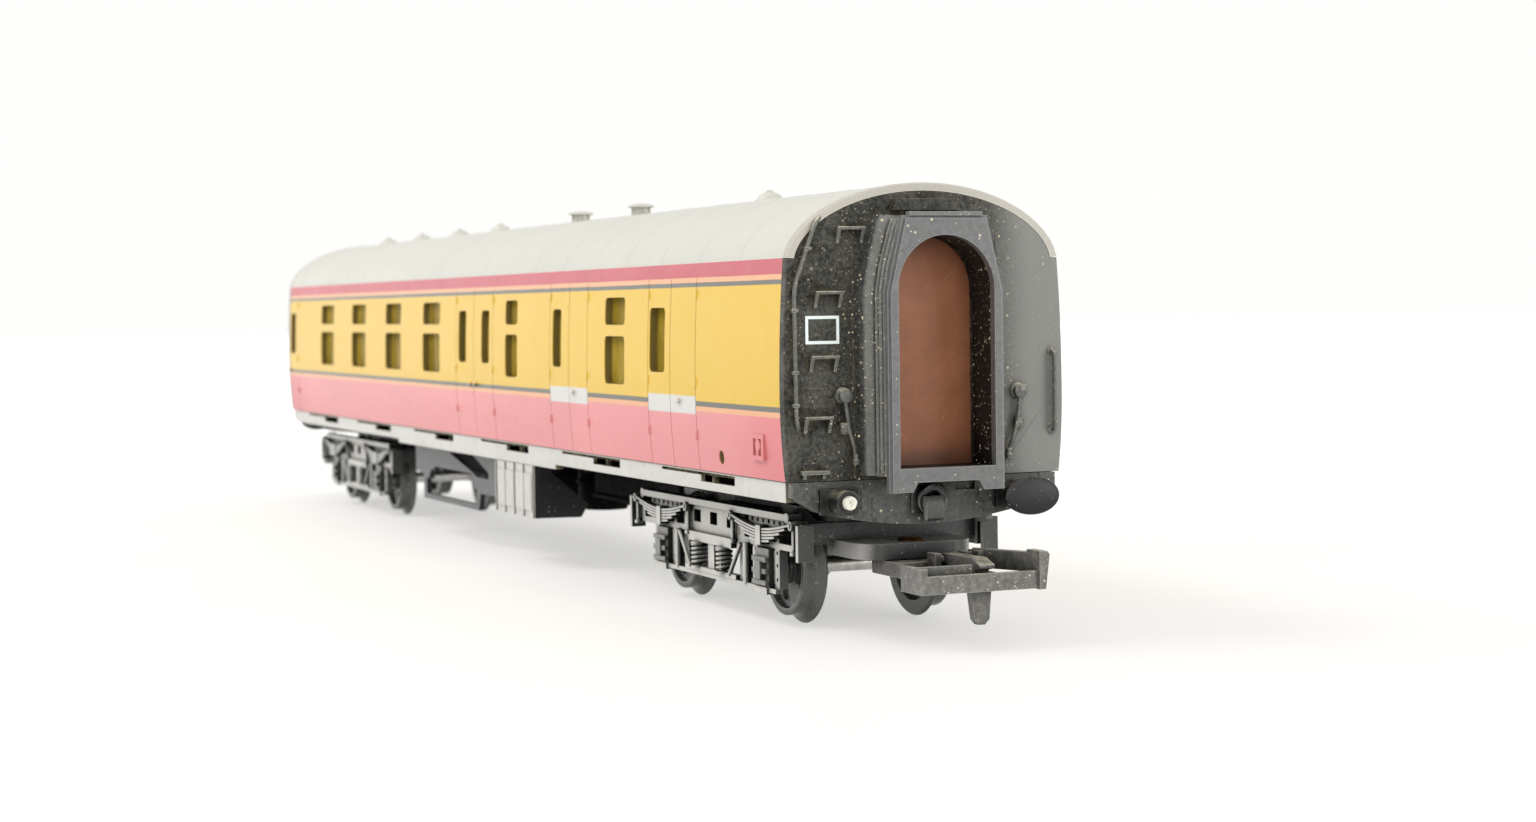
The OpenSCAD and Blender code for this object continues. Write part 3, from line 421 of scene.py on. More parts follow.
def bellows_rubber():
    """Dusty rubber with a painted highlight along the ridge of every fold, and near black painted shade between
    the folds and in the walkway.
    """
    g = Graph("bellows_grey")
    past_first = g.add(g.math("ABSOLUTE", g.x), 0.5 * FOLD_PITCH - FIRST_FOLD)
    along = g.math("FRACT", g.times(past_first, 1 / FOLD_PITCH))
    off_ridge = g.times(g.math("ABSOLUTE", g.add(along, -0.5)), FOLD_PITCH)
    ridge = g.ramp(off_ridge, 0.34, 0.1)
    grain = g.ramp(g.noise(0.6, 6, 0.75), 0.28, 0.72)
    # Painted highlight on the fold ridges, painted shade between them
    base = g.mix(g.add(g.times(ridge, 0.7), g.times(grain, 0.3)), rgb(26, 26, 25), rgb(134, 134, 129))
    above = g.math("MAXIMUM", g.add(g.z, -ARCH_Z), 0.0)
    off_middle = g.math("SQRT", g.add(g.times(g.y, g.y), g.times(above, above)))
    walkway = g.ramp(off_middle, WALKWAY_HALF + 0.35, WALKWAY_HALF + 0.15)
    # Painted shade inside the walkway
    base = g.mix(walkway, base, rgb(27, 25, 25))
    deep = g.corners(5.0, 0.72, 0.36)
    base = g.mix(deep, base, rgb(*DEEP_SHADE))
    spots = g.most(g.specks(1.4, 0.22, 0.6), g.specks(0.7, 0.14, 0.8),
                   g.times(g.specks(0.42, 0.08, 0.8), 0.85))
    base = g.mix(g.times(spots, g.ramp(g.noise(4, 3), 0.34, 0.56)), base, rgb(222, 212, 178))
    g.bump(g.add(g.noise(0.25, 3, 0.6), spots), 0.02)
    shine = g.times(g.math("SUBTRACT", 1.0, deep), 0.2)
    return g.finish(base, g.add(g.times(g.noise(1.6, 4, 0.6), 0.2), 0.45), Specular_IOR_Level=shine)


def end_black(name="end_black", mark=False):
    """Glossy black with blotches, a pale painted sheen on one half and dust beside the gangway.

    mark adds a plain white rectangular outline on the near half of each end.
    """
    g = Graph(name)
    fine, coarse = g.ramp(g.noise(0.5, 6, 0.8), 0.3, 0.7), g.ramp(g.noise(4, 5, 0.6), 0.3, 0.7)
    tone = g.add(g.times(fine, 0.6), g.times(coarse, 0.4))
    base = g.mix(tone, rgb(6, 6, 5), rgb(80, 79, 73))
    # A pale painted sheen, stronger towards the far edge of each end
    side = g.ramp(g.times(g.y, g.math("SIGN", g.x)), 6, 14)
    base = g.mix(g.times(side, 0.82), base, rgb(124, 124, 120))
    shade = g.most(g.times(g.corners(3.0, 0.85, 0.3), 0.85), g.times(g.corners(1.0, 0.9, 0.5), 0.9))
    base = g.mix(shade, base, rgb(9, 9, 8))
    pale_edged = g.mix(g.times(g.edges(), 0.4), base, rgb(134, 132, 122))
    spots = g.most(g.specks(1.6, 0.24, 0.6), g.specks(0.75, 0.15, 0.8),
                   g.times(g.specks(0.45, 0.09, 0.7), 0.85))
    near_gangway = g.ramp(g.math("ABSOLUTE", g.math("SUBTRACT", g.math("ABSOLUTE", g.y), 9.0)), 3.5, 0.6)
    amount = g.add(g.times(near_gangway, 0.6), g.times(g.ramp(g.noise(5, 3), 0.4, 0.62), 0.4), clamp=True)
    film = g.times(g.most(g.upward(), g.times(g.corners(), 0.5)), g.ramp(g.noise(1.4, 6, 0.7), 0.35, 0.7))
    dirt = g.most(g.times(spots, amount), g.times(film, 0.5))
    pale_edged = g.mix(g.times(dirt, 0.9), pale_edged, rgb(216, 204, 166))
    if mark:
        whole = g.times(g.band(g.y, *MARK_Y), g.band(g.z, *MARK_Z))
        middle = g.times(g.band(g.y, MARK_Y[0] + MARK_STROKE, MARK_Y[1] - MARK_STROKE),
                         g.band(g.z, MARK_Z[0] + MARK_STROKE, MARK_Z[1] - MARK_STROKE))
        ring = g.math("SUBTRACT", whole, middle, clamp=True)
        front = g.ramp(g.math("ABSOLUTE", g.x), END_X - 0.1, END_X - 0.02)
        pale_edged = g.mix(g.times(g.times(ring, front), 0.9), pale_edged, rgb(222, 232, 230))
    g.bump(g.add(g.add(g.noise(0.22, 3, 0.6), g.times(g.noise(3, 2), 1.5)), g.times(spots, 1.5)), 0.025)
    rough = g.add(g.times(g.noise(1.6, 4, 0.6), 0.22), 0.34)
    tone = g.most(tone, side)
    shine = g.times(g.math("SUBTRACT", 1.0, shade), g.add(g.times(tone, 0.26), 0.02))
    return g.finish(pale_edged, g.add(rough, g.times(dirt, 0.4), clamp=True), Specular_IOR_Level=shine)


# Colour and finish of each plain moulding
PLASTICS = {
    "underframe_black": dict(colour=(46, 46, 45), rough=0.3, dust=0.6, edge_wear_and_highlight=0.45, film=0.5, painted_side_sheen=0.85,
                             cavity_shade=1.0),
    "interior_tan": dict(colour=(104, 82, 46), rough=0.55, dust=0.3, edge_wear_and_highlight=0.2, gain=(0.8, 1.2), gloss=0.2),
    "wheel_black": dict(colour=(74, 74, 73), rough=0.24, dust=0.45, edge_wear_and_highlight=0.5, film=0.4, cavity_shade=0.5),
    "broken_white": dict(colour=(214, 212, 198), rough=0.55, dust=0.4, edge_wear_and_highlight=0.2, grain=0.08,
                         dust_colour=(150, 132, 108)),
    "buffer_black": dict(colour=(16, 16, 19), rough=0.42, dust=0.5, edge_wear_and_highlight=0.3, film=0.3, gloss=0.35),
    "spring_black": dict(colour=(52, 52, 51), rough=0.32, dust=0.6, edge_wear_and_highlight=0.5, painted_side_sheen=1.0,
                         sheen_colour=(192, 191, 186), cavity_shade=1.0),
    "headstock_black": dict(colour=(66, 66, 64), rough=0.34, dust=1.0, edge_wear_and_highlight=0.6, gloss=0.3,
                            dust_colour=(204, 196, 164), gain=(0.5, 1.4), cavity_shade=0.9, dust_share=1.3),
    "iron_black": dict(colour=(84, 84, 80), rough=0.3, dust=1.0, edge_wear_and_highlight=1.0, film=1.0, gloss=0.4, cavity_shade=0.4,
                       dust_colour=(206, 198, 174), gain=(0.6, 1.3)),
    "box_grey": dict(colour=(22, 22, 24), rough=0.36, dust=0.5, edge_wear_and_highlight=0.2, painted_side_sheen=1.0,
                     sheen_colour=(190, 189, 183), gloss=0.35),
    "face_grey": dict(colour=(94, 94, 94), rough=0.36, dust=0.8, edge_wear_and_highlight=0.7, film=0.5, gloss=0.35,
                      dust_colour=(200, 192, 168), gain=(0.84, 1.14), cavity_shade=0.5, dust_share=0.3),
    "coupling_grey": dict(colour=(92, 91, 87), rough=0.32, dust=0.9, edge_wear_and_highlight=0.8, film=0.7, gain=(0.6, 1.35),
                          dust_colour=(206, 198, 172), cavity_shade=1.0, gloss=0.35, dust_share=1.3),
    "frame_grey": dict(colour=(50, 50, 48), rough=0.34, dust=0.5, edge_wear_and_highlight=0.5, film=0.5, painted_side_sheen=1.0,
                       sheen_colour=(188, 187, 181), cavity_shade=1.0),
    "axlebox_grey": dict(colour=(44, 44, 43), rough=0.34, dust=0.6, edge_wear_and_highlight=0.7, painted_side_sheen=0.4,
                         sheen_colour=(170, 169, 163), cavity_shade=0.8),
    # Near black: a shaded copy of the underframe black, as painted shade for the floor, sills and cylinders under
    # the coach
    "floor_black": dict(colour=(9, 9, 9), rough=0.6, dust=0.15, edge_wear_and_highlight=0.1, film=0.2, gloss=0.05, cavity_shade=1.0),
    # The truss frames: a darker copy with less painted sheen, as painted shade under the solebars
    "truss_grey": dict(colour=(33, 33, 34), dust=0.4, film=0.4, painted_side_sheen=0.8, sheen_colour=(96, 96, 98),
                       gloss=0.25, cavity_shade=0.5),
    "housing_black": dict(colour=(26, 26, 25), rough=0.34, dust=0.9, edge_wear_and_highlight=0.9, film=0.8, gloss=0.3,
                          dust_colour=(176, 170, 146), gain=(0.6, 1.5), cavity_shade=0.9),
}
materials = {name: plastic(name, **finish) for name, finish in PLASTICS.items()}
materials.update({
    "end_black": end_black(),
    "roof_grey": roof_paint(),
    "body_paint": livery("body_paint"),
    "clear_glazing": window_plastic(),
    "door_brown": door_paint(),
    "fitting_paint": livery("fitting_paint", fittings=True),
    "bright_steel": metal("bright_steel", (196, 195, 190), 0.32, (120, 112, 100)),
    "rivet_brass": metal("rivet_brass", (198, 146, 92), 0.34, (96, 62, 40), 0.7),
    "solebar_grey": solebar_plastic(),
    "bellows_grey": bellows_rubber(),
})
marked_end = end_black("end_black_marked", mark=True)


# ---------------------------------------------------------------- mesh tools

def loft(rings, loop=False):
    """Faces between closed rings of equally many points, capped at both ends unless the rings form a loop."""
    points = [p for ring in rings for p in ring]
    n, faces = len(rings[0]), []
    last = len(rings) if loop else len(rings) - 1
    for i in range(last):
        a, b = i * n, (i + 1) % len(rings) * n
        for k in range(n):
            m = (k + 1) % n
            faces.append((a + k, a + m, b + m, b + k))
    if not loop:
        faces.append(tuple(reversed(range(n))))
        faces.append(tuple(range((len(rings) - 1) * n, len(rings) * n)))
    return points, faces


def circle(r, steps):
    return [(r * math.cos(a), r * math.sin(a)) for a in (math.tau * k / steps for k in range(steps))]


def half_circle(r, z, steps):
    """Points from +y over the top to -y."""
    return [(r * math.cos(a), z + r * math.sin(a)) for a in (math.pi * k / steps for k in range(steps + 1))]


def sweep(path, section):
    """Carries a flat section along a path without twisting it."""
    path = [Vector(p) for p in path]
    rings, normal = [], None
    for i, p in enumerate(path):
        along = (path[min(i + 1, len(path) - 1)] - path[max(i - 1, 0)]).normalized()
        if normal is None:
            side = Vector((0, 0, 1)) if abs(along.z) < 0.9 else Vector((0, 1, 0))
            normal = (side - side.project(along)).normalized()
        else:
            normal = (normal - normal.project(along)).normalized()
        across = along.cross(normal)
        rings.append([p + across * u + normal * v for u, v in section])
    return loft(rings)


def rounded_path(points, r, steps=5):
    """The same corner points with each bend turned into a smooth curve of about radius r."""
    points = [Vector(p) for p in points]
    path = [points[0]]
    for before, here, after in zip(points, points[1:], points[2:]):
        a = here + (before - here).normalized() * min(r, (before - here).length * 0.45)
        b = here + (after - here).normalized() * min(r, (after - here).length * 0.45)
        for k in range(steps + 1):
            t = k / steps
            path.append(a * (1 - t) ** 2 + here * 2 * t * (1 - t) + b * t * t)
    return path + [points[-1]]


def tube(points, r, bend=0.6, sides=12):
    return sweep(rounded_path(points, bend) if bend else points, circle(r, sides))


def lathe(profile, place, axis="Z", steps=32, squash=(1.0, 1.0)):
    """Turns (radius, distance along the axis) points round an axis through place."""
    rings = []
    for r, h in profile:
        ring = [(u * squash[0], v * squash[1], h) for u, v in circle(max(r, 0.001), steps)]
        if axis == "X":
            ring = [(h, u, v) for u, v, h in ring]
        elif axis == "Y":
            ring = [(v, h, u) for u, v, h in ring]
        rings.append([Vector(place) + Vector(p) for p in ring])
    return loft(rings)


def prism(outline, low, high, axis="Y"):
    """A flat outline made solid between low and high. The outline's pair is (y, z), (x, z) or (x, y)."""
    def at(p, h):
        return {"X": (h, p[0], p[1]), "Y": (p[0], h, p[1]), "Z": (p[0], p[1], h)}[axis]
    return loft([[Vector(at(p, h)) for p in outline] for h in (low, high)])


def block(x, y, z):
    return prism([(x[0], z[0]), (x[1], z[0]), (x[1], z[1]), (x[0], z[1])], y[0], y[1])


def moved(shape, matrix):
    return [matrix @ Vector(p) for p in shape[0]], shape[1]


def mirrored(shape):
    """The same shape on the other side of the coach."""
    points = [Vector((p[0], -p[1], p[2])) for p in shape[0]]
    return points, [tuple(reversed(f)) for f in shape[1]]


def smooth_group():
    """Shades smooth except across edges sharper than its angle."""
    group = bpy.data.node_groups.new("smooth_by_angle", "GeometryNodeTree")
    group.interface.new_socket("Geometry", in_out="INPUT", socket_type="NodeSocketGeometry")
    group.interface.new_socket("Geometry", in_out="OUTPUT", socket_type="NodeSocketGeometry")
    start, end = group.nodes.new("NodeGroupInput"), group.nodes.new("NodeGroupOutput")
    faces = group.nodes.new("GeometryNodeSetShadeSmooth")
    edges = group.nodes.new("GeometryNodeSetShadeSmooth")
    edges.domain = "EDGE"
    edges.inputs["Shade Smooth"].default_value = False
    angle = group.nodes.new("GeometryNodeInputMeshEdgeAngle")
    sharp = group.nodes.new("FunctionNodeCompare")
    sharp.operation = "GREATER_THAN"
    sharp.inputs[1].default_value = math.radians(32)
    link = group.links.new
    link(start.outputs[0], faces.inputs["Geometry"])
    link(faces.outputs[0], edges.inputs["Geometry"])
    link(angle.outputs["Unsigned Angle"], sharp.inputs[0])
    link(sharp.outputs[0], edges.inputs["Selection"])
    link(edges.outputs[0], end.inputs[0])
    return group


smooth_nodes = smooth_group()


def soften(obj, width=0.08, weld=True):
    """Rounds the corners of a shape a little, as moulding does, and smooths its curves."""
    if "custom_normal" in obj.data.attributes:
        obj.data.attributes.remove(obj.data.attributes["custom_normal"])
    if weld:
        obj.modifiers.new("weld", "WELD").merge_threshold = 0.002 * MM
    if width:
        bevel = obj.modifiers.new("bevel", "BEVEL")
        bevel.width = width * MM
        bevel.segments = 2
        bevel.limit_method = "ANGLE"
        bevel.angle_limit = math.radians(35)
        bevel.miter_outer = "MITER_ARC"
    obj.modifiers.new("smooth", "NODES").node_group = smooth_nodes
    weigh = obj.modifiers.new("weigh", "WEIGHTED_NORMAL")
    weigh.mode = "FACE_AREA"
    weigh.keep_sharp = True


def piece(name, body, slot, shapes, replaces=(), material=None, bevel=0.0, matrix=None):
    """A new mesh in the frame, riding on a CAD body. shapes is a list of (points, faces) in millimetres."""
    points, faces = [], []
    for shape in shapes:
        first = len(points)
        points += [Vector(p) * MM for p in shape[0]]
        faces += [tuple(first + k for k in f) for f in shape[1]]
    if matrix is not None:
        points = [(matrix @ (p / MM)) * MM for p in points]
    mesh = bpy.data.meshes.new(name)
    mesh.from_pydata([tuple(p) for p in points], [], faces)
    work = bmesh.new()
    work.from_mesh(mesh)
    bmesh.ops.recalc_face_normals(work, faces=work.faces)
    work.to_mesh(mesh)
    work.free()
    mesh.materials.append(material or materials[slot])
    obj = bpy.data.objects.new(name, mesh)
    bpy.context.scene.collection.objects.link(obj)
    soften(obj, bevel, weld=False)
    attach(obj, body)
    if replaces:
        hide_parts(*replaces)
    return obj


def both_ways(shapes):
    """The shapes at the van end and, turned half round, at the other end."""
    return shapes + [moved(shape, HALF_TURN) for shape in shapes]


def both_sides(shapes):
    return shapes + [mirrored(shape) for shape in shapes]


def bogie_matrix(end):
    place = Matrix.Translation((BOGIE_X, 0, 0))
    return place if end == "front" else HALF_TURN @ place


# ---------------------------------------------------------------- roof

def roof_z(y):
    return ROOF_BASE + ROOF_RISE * (1 - (y / ROOF_HALF) ** 2) ** (ROOF_POWER / 2)


def roof_ring(x, lift, steps=72):
    """Outer curve from one eaves to the other, then back along the inner one."""
    outer, inner = [], []
    for k in range(steps + 1):
        a = EAVES_ANGLE * (1 - 2 * k / steps)
        for ring, inset in ((outer, -lift), (inner, ROOF_T)):
            y = (ROOF_HALF - inset) * math.sin(a)
            ring.append((x, y, ROOF_BASE + (ROOF_RISE - inset) * math.cos(a) ** ROOF_POWER))
    return outer + inner[::-1]


def build_roof():
    """The curved sheet: a raised rim at each end, and seams that stand a little proud of what lies between."""
    sheet_lift, seam_lift, rim_chamfer, rim = -0.1, -0.07, 0.12, 1.0
    stations = {}
    for side in (-1, 1):
        for inset, lift in ((0.0, -rim_chamfer), (rim_chamfer, 0.0), (rim, 0.0), (rim + 0.15, sheet_lift),
                            (rim + 0.5, sheet_lift)):
            stations[side * (END_X - inset)] = lift
    seam = ROOF_FIRST_SEAM
    while seam > rim - END_X:
        for off, lift in ((-0.32, sheet_lift), (-0.2, seam_lift), (0.2, seam_lift), (0.32, sheet_lift),
                          (-ROOF_SEAM_PITCH / 2, sheet_lift)):
            stations[seam + off] = lift
        seam -= ROOF_SEAM_PITCH
    rings = [roof_ring(x, stations[x]) for x in sorted(stations)]
    piece("roof_moulding", "coach", "roof_grey", [loft(rings)], ["roof_panel"])
    build_ventilators()


def build_ventilators():
    """Low shell vents in a row, and two fan vents ribbed under their caps."""
    shells = []
    for x in (-114.3, -88.5, -62.2, -36.3, 84):
        profile = [(1.95, -0.45), (1.95, 0.02), (1.85, 0.16), (1.6, 0.42), (1.42, 0.72), (1.28, 0.84),
                   (1.0, 0.95), (0.82, 1.05), (0.5, 1.1), (0.46, 1.34), (0.34, 1.42), (0.0, 1.44)]
        shells.append(lathe(profile, (x, 0, roof_z(1.9) - 0.05), steps=40))
    piece("shell_ventilators", "coach", "roof_grey", shells, ["roof_shell_vents"])
    fans = []
    for x in (7.2, 35):
        profile = [(1.5, -0.3), (1.5, 0.1), (1.34, 0.22), (1.3, 0.85), (1.4, 1.02), (1.96, 1.1), (2.0, 1.2),
                   (1.96, 1.32), (1.6, 1.5), (1.1, 1.64), (0.5, 1.69), (0.0, 1.7)]
        fans.append(lathe(profile, (x, 0, roof_z(0)), steps=40))
        rib = block((1.25, 1.5), (-0.12, 0.12), (0.15, 1.02))
        ribs = 8
        for k in range(ribs):
            place = Matrix.Translation((x, 0, roof_z(0))) @ Matrix.Rotation(math.tau * k / ribs, 4, "Z")
            fans.append(moved(rib, place))
    piece("fan_ventilators", "coach", "roof_grey", fans, ["roof_fan_vents"])


# ---------------------------------------------------------------- ends

def outline_hit(outline, centre, angle):
    """Where a ray from centre first leaves a closed outline."""
    dy, dz = math.cos(angle), math.sin(angle)
    best = None
    for (y0, z0), (y1, z1) in zip(outline, outline[1:] + outline[:1]):
        ey, ez = y1 - y0, z1 - z0
        cross = dy * ez - dz * ey
        if abs(cross) < 1e-9:
            continue
        t = ((y0 - centre[0]) * ez - (z0 - centre[1]) * ey) / cross
        s = ((y0 - centre[0]) * dz - (z0 - centre[1]) * dy) / cross
        if t > 0 and -1e-6 <= s <= 1 + 1e-6:
            best = t if best is None else min(best, t)
    return centre[0] + best * dy, centre[1] + best * dz


def build_bellows():
    """Rubber folds that flare out to the end wall, with the walkway arch through them."""
    low = 19.0
    arch = half_circle(WALKWAY_HALF, ARCH_Z, 40)
    inner = [(WALKWAY_HALF, WALKWAY_Z)] + arch + [(-WALKWAY_HALF, WALKWAY_Z)]
    centre = (0.0, 33.0)
    rays = 160
    angles = [math.tau * k / rays for k in range(rays)]
    hole = [outline_hit(inner, centre, a) for a in angles]
    # How far each ring lies inside the faceplate's outline: a flared skirt, then the folds
    insets = [-1.15, -0.7, -0.15, 0.45, 0.7, 0.45, 0.2, 0.5, 0.7, 0.45, 0.2, 0.5, 0.7, 0.45, 0.25, 0.5, 0.7,
              0.5, 0.3]
    rings = []
    for i, inset in enumerate(insets):
        x = END_X + BELLOWS_DEPTH * i / (len(insets) - 1)
        w, top = FACE_HALF - inset, FACE_TOP - max(inset, -0.3)
        outer = [(w, low), (w, SHOULDER_Z), (w - 0.5, SHOULDER_Z + 3), (w - 2, top), (2 - w, top),
                 (0.5 - w, SHOULDER_Z + 3), (-w, SHOULDER_Z), (-w, low)]
        rings.append([(x, *outline_hit(outer, centre, a)) for a in angles])
    back = [[(END_X + BELLOWS_DEPTH, y, z) for y, z in hole], [(END_X, y, z) for y, z in hole]]
    shape = loft(rings + back, loop=True)
    folds = materials["bellows_grey"]
    turned = moved(shape, HALF_TURN)
    piece("gangway_folds_front", "coach", "end_black", [shape], ["gangway_bellows_front"], folds)
    piece("gangway_folds_rear", "coach", "end_black", [turned], ["gangway_bellows_rear"], folds)


def build_gangway_doors():
    """The brown sheet behind the walkway, with a slight raised panel on its face."""
    low, high = box_mm("gangway_door_front")
    w = WALKWAY_HALF + 0.02
    face = [(-w, WALKWAY_Z - 0.1), (w, WALKWAY_Z - 0.1)] + half_circle(w, ARCH_Z, 48)
    raised, sunk = 0.6, 0.05
    sheet = block((low.x, high.x - raised), (low.y, high.y), (low.z, high.z))
    shapes = [sheet, prism(face, high.x - raised - sunk, high.x, "X")]
    turned = [moved(shape, HALF_TURN) for shape in shapes]
    piece("gangway_sheet_front", "coach", "door_brown", shapes, ["gangway_door_front"])
    piece("gangway_sheet_rear", "coach", "door_brown", turned, ["gangway_door_rear"])


def build_end_steps():
    """Step irons up the end, each a rounded tread on two riveted straps, and the bottom step."""
    front = END_X
    width, strap_width = 3.45, 0.4
    steps = []
    for y, z in ((-11.4, 47.3), (-14.25, 40), (-14.9, 32.7), (-15.7, 25.8)):
        tread = [(0, -0.14), (1.02, -0.2), (1.1, -0.12), (1.1, 0.12), (1.02, 0.2), (0, 0.12)]
        steps.append(prism([(front + dx, z + dz) for dx, dz in tread], y, y + width))
        for leg in (y + 0.02, y + width - strap_width - 0.02):
            strap = [(0, -1.75), (0.3, -1.7), (0.42, -1.2), (0.95, -0.15), (0.7, -0.1), (0, -0.1)]
            steps.append(prism([(front + dx, z + dz) for dx, dz in strap], leg, leg + strap_width))
            steps.append(lathe([(0.17, 0), (0.15, 0.36), (0.0, 0.42)], (front, leg + 0.2, z - 1.5), "X", 10))
    steps.append(block((front, front + 1.0), (-16.2, -12.8), (19.42, 19.85)))
    for y in (-15.9, -13.5):
        steps.append(block((front, front + 0.6), (y, y + 0.35), (18.9, 19.45)))
    piece("end_step_irons", "coach", "end_black", both_ways(steps), ["end_steps"],
          materials["iron_black"], 0.05)


def jumper(y, lean):
    """A round socket, its cable and the plug box below; lean is the side to which the cable hangs."""
    front = END_X
    socket = [(0.95, 0), (0.95, 0.2), (0.7, 0.3), (0.68, 0.85), (0.82, 0.9), (0.82, 1.1), (0.55, 1.2),
              (0.0, 1.24)]
    cable = [(0.7, 0.0, 27.9), (0.8, 0.2, 26.2), (0.7, 0.5, 24.2), (0.75, 1.05, 22.6), (0.3, 1.4, 20.9)]
    clip = [(0.42, 0), (0.42, 0.5), (0.3, 0.62), (0.3, 1.2), (0.0, 1.25)]
    box = [(0.45, 0), (0.55, 0.3), (0.55, 1.1), (0.35, 1.3), (0.0, 1.32)]
    return [lathe(socket, (front, y, 28.3), "X", 28),
            tube([(front + out, y + lean * across, z) for out, across, z in cable], 0.24, 1.0),
            lathe(clip, (front + 0.45, y + lean * 1.4, 20.4), "Z", 16),
            lathe(box, (front + 0.4, y, 23.9), "Z", 18)]


def build_end_pipes():
    """A conduit that comes out under the roof and runs down the edge in clips, and the two jumper cables."""
    front = END_X
    x = front + 0.34
    pipes = [tube([(front - 0.02, -13.3, 48.6), (x, -14.0, 47.8), (x, -16.72, 40.6), (x, -16.6, 25.6),
                   (front - 0.02, -16.2, 24.6)], 0.27, 1.3)]
    for y, z in ((-15.0, 45), (-16.7, 38), (-16.7, 31), (-16.7, 27.3)):
        pipes.append(block((front, front + 0.66), (y - 0.4, y + 0.4), (z - 0.18, z + 0.18)))
    pipes += jumper(-10.7, 1) + jumper(11.9, -1)
    piece("end_pipes_and_jumpers", "coach", "end_black", both_ways(pipes), ["end_pipework"],
          materials["iron_black"], 0.04)


def build_end_rails():
    front, y, low, high, stand = END_X, 16.5, 23.5, 32.9, 0.85
    rail = [tube([(front, y, low), (front + stand, y, low + 0.2),
                  (front + stand, y, high - 0.2), (front, y, high)], 0.26, 0.5)]
    for z in (low, high):
        rail.append(lathe([(0.5, 0), (0.5, 0.12), (0.34, 0.2), (0.0, 0.22)], (front, y, z), "X", 18))
    piece("end_grab_rails", "coach", "end_black", both_ways(rail), ["end_handrails"], materials["iron_black"])


def build_buffers():
    """Three rams with oval heads, and the fourth's bare shank, snapped off short."""
    place = (HEADSTOCK_X, BUFFER_Y, BUFFER_Z)
    ram = [(0.85, 0.62), (0.85, 3.6), (1.1, 3.7), (1.2, 4.2), (1.5, 4.5), (0.0, 4.55)]
    head = [(0.0, 4.5), (0.9, 4.5), (0.985, 4.56), (1.0, 4.68), (0.995, 4.8), (0.96, 4.9), (0.85, 5.0),
            (0.6, 5.12), (0.3, 5.18), (0.0, 5.2)]
    rams = [lathe(ram, place, "X", 24), lathe(head, place, "X", 64, squash=(3.55, 2.2))]
    shapes = rams + [moved(shape, HALF_TURN) for shape in both_sides(rams)]
    piece("buffer_heads", "coach", "underframe_black", shapes, ["buffer_rams"], materials["buffer_black"])
    # The snapped end is ragged and slightly hollow
    rings = []
    for r, h in ((0.85, 0.62), (0.85, 3.2), (0.8, 3.55), (0.62, 3.66), (0.35, 3.5), (0.08, 3.42)):
        ragged = 0.0 if h < 3.1 else 0.1
        ring = []
        for u, v in circle(1, 22):
            x = HEADSTOCK_X + h + random.uniform(-ragged, ragged * 0.3)
            y = -BUFFER_Y + r * u * (1 + random.uniform(-ragged, 0))
            z = BUFFER_Z + r * v * (1 + random.uniform(-ragged, 0))
            ring.append((x, y, z))
        rings.append(ring)
    piece("snapped_buffer_shank", "coach", "broken_white", [loft(rings)], ["broken_buffer_shank"])


def build_draw_hooks():
    """A riveted plate, a screw shackle curled round its middle, and the hook's jaw below."""
    x = HEADSTOCK_X
    shapes = [prism([(-2.1, 14.4), (2.1, 14.4), (2.1, 17.5), (-2.1, 17.5)], x, x + 0.38, "X")]
    shackle, r, steps = [], 1.45, 28
    for k in range(steps + 1):
        a = math.radians(300 * k / steps - 60)
        shackle.append((x + 0.85 + 0.12 * math.sin(a * 2), 0.3 - r * math.cos(a), 16.0 + r * math.sin(a)))
    section = [(-0.3, -0.38), (0.3, -0.38), (0.42, -0.2), (0.42, 0.2), (0.3, 0.38), (-0.3, 0.38)]
    shapes.append(sweep(shackle, section))
    jaw = [(0.3, 15.3), (1.3, 15.2), (1.35, 14.3), (1.6, 13.75), (2.05, 13.62), (2.3, 13.9), (2.3, 15.7),
           (2.15, 15.95), (1.6, 16.5), (0.3, 16.6)]
    shapes.append(prism([(x + a, b) for a, b in jaw], -1.1, 1.1))
    for z in (14.75, 17.1):
        for y in (-1.8, 1.8):
            shapes.append(lathe([(0.22, 0.3), (0.2, 0.5), (0.0, 0.54)], (x, y, z), "X", 10))
    piece("draw_hook_castings", "coach", "underframe_black", both_ways(shapes), ["draw_hooks"], bevel=0.12)


# ---------------------------------------------------------------- bogies

def build_leaf_spring(x):
    """Five curved leaves in a buckle, with a hanger and eye at each end."""
    shapes = []
    for leaf in range(5):
        reach = LEAF_REACH * (1 - 0.17 * leaf)
        points = []
        for k in range(17):
            u = -1 + k / 8
            rise = 1.15 * (abs(u) * reach / LEAF_REACH) ** 1.7
            points.append((x + u * reach, SPRING_Y, 11.75 - LEAF_T * leaf + rise))
        section = [(-0.46, -0.145), (0.46, -0.145), (0.5, 0.0), (0.46, 0.145), (-0.46, 0.145), (-0.5, 0.0)]
        shapes.append(sweep(points, section))
    shapes.append(block((x - 0.75, x + 0.75), (-13.45, -12.3), (9.85, 12.2)))
    for side in (-1, 1):
        eye = x + side * (LEAF_REACH + 0.1)
        hanger_y = SPRING_Y + 0.05
        roller = [(0.55, -13.35), (0.6, -13.25), (0.6, -12.3), (0.0, -12.3)]
        pin = [(0.0, -13.5), (0.26, -13.5), (0.3, -13.4), (0.3, -12.3)]
        shapes.append(lathe(roller, (eye, 0, 12.75), "Y", 16))
        shapes.append(lathe(pin, (eye, 0, 12.75), "Y", 12))
        shapes.append(tube([(eye, hanger_y, 9.3), (eye, hanger_y, 13.0)], 0.3, 0, 10))
        shapes.append(lathe([(0.5, 0), (0.55, 0.2), (0.5, 0.5), (0.0, 0.5)], (eye, hanger_y, 9.2), "Z", 12))
    return shapes


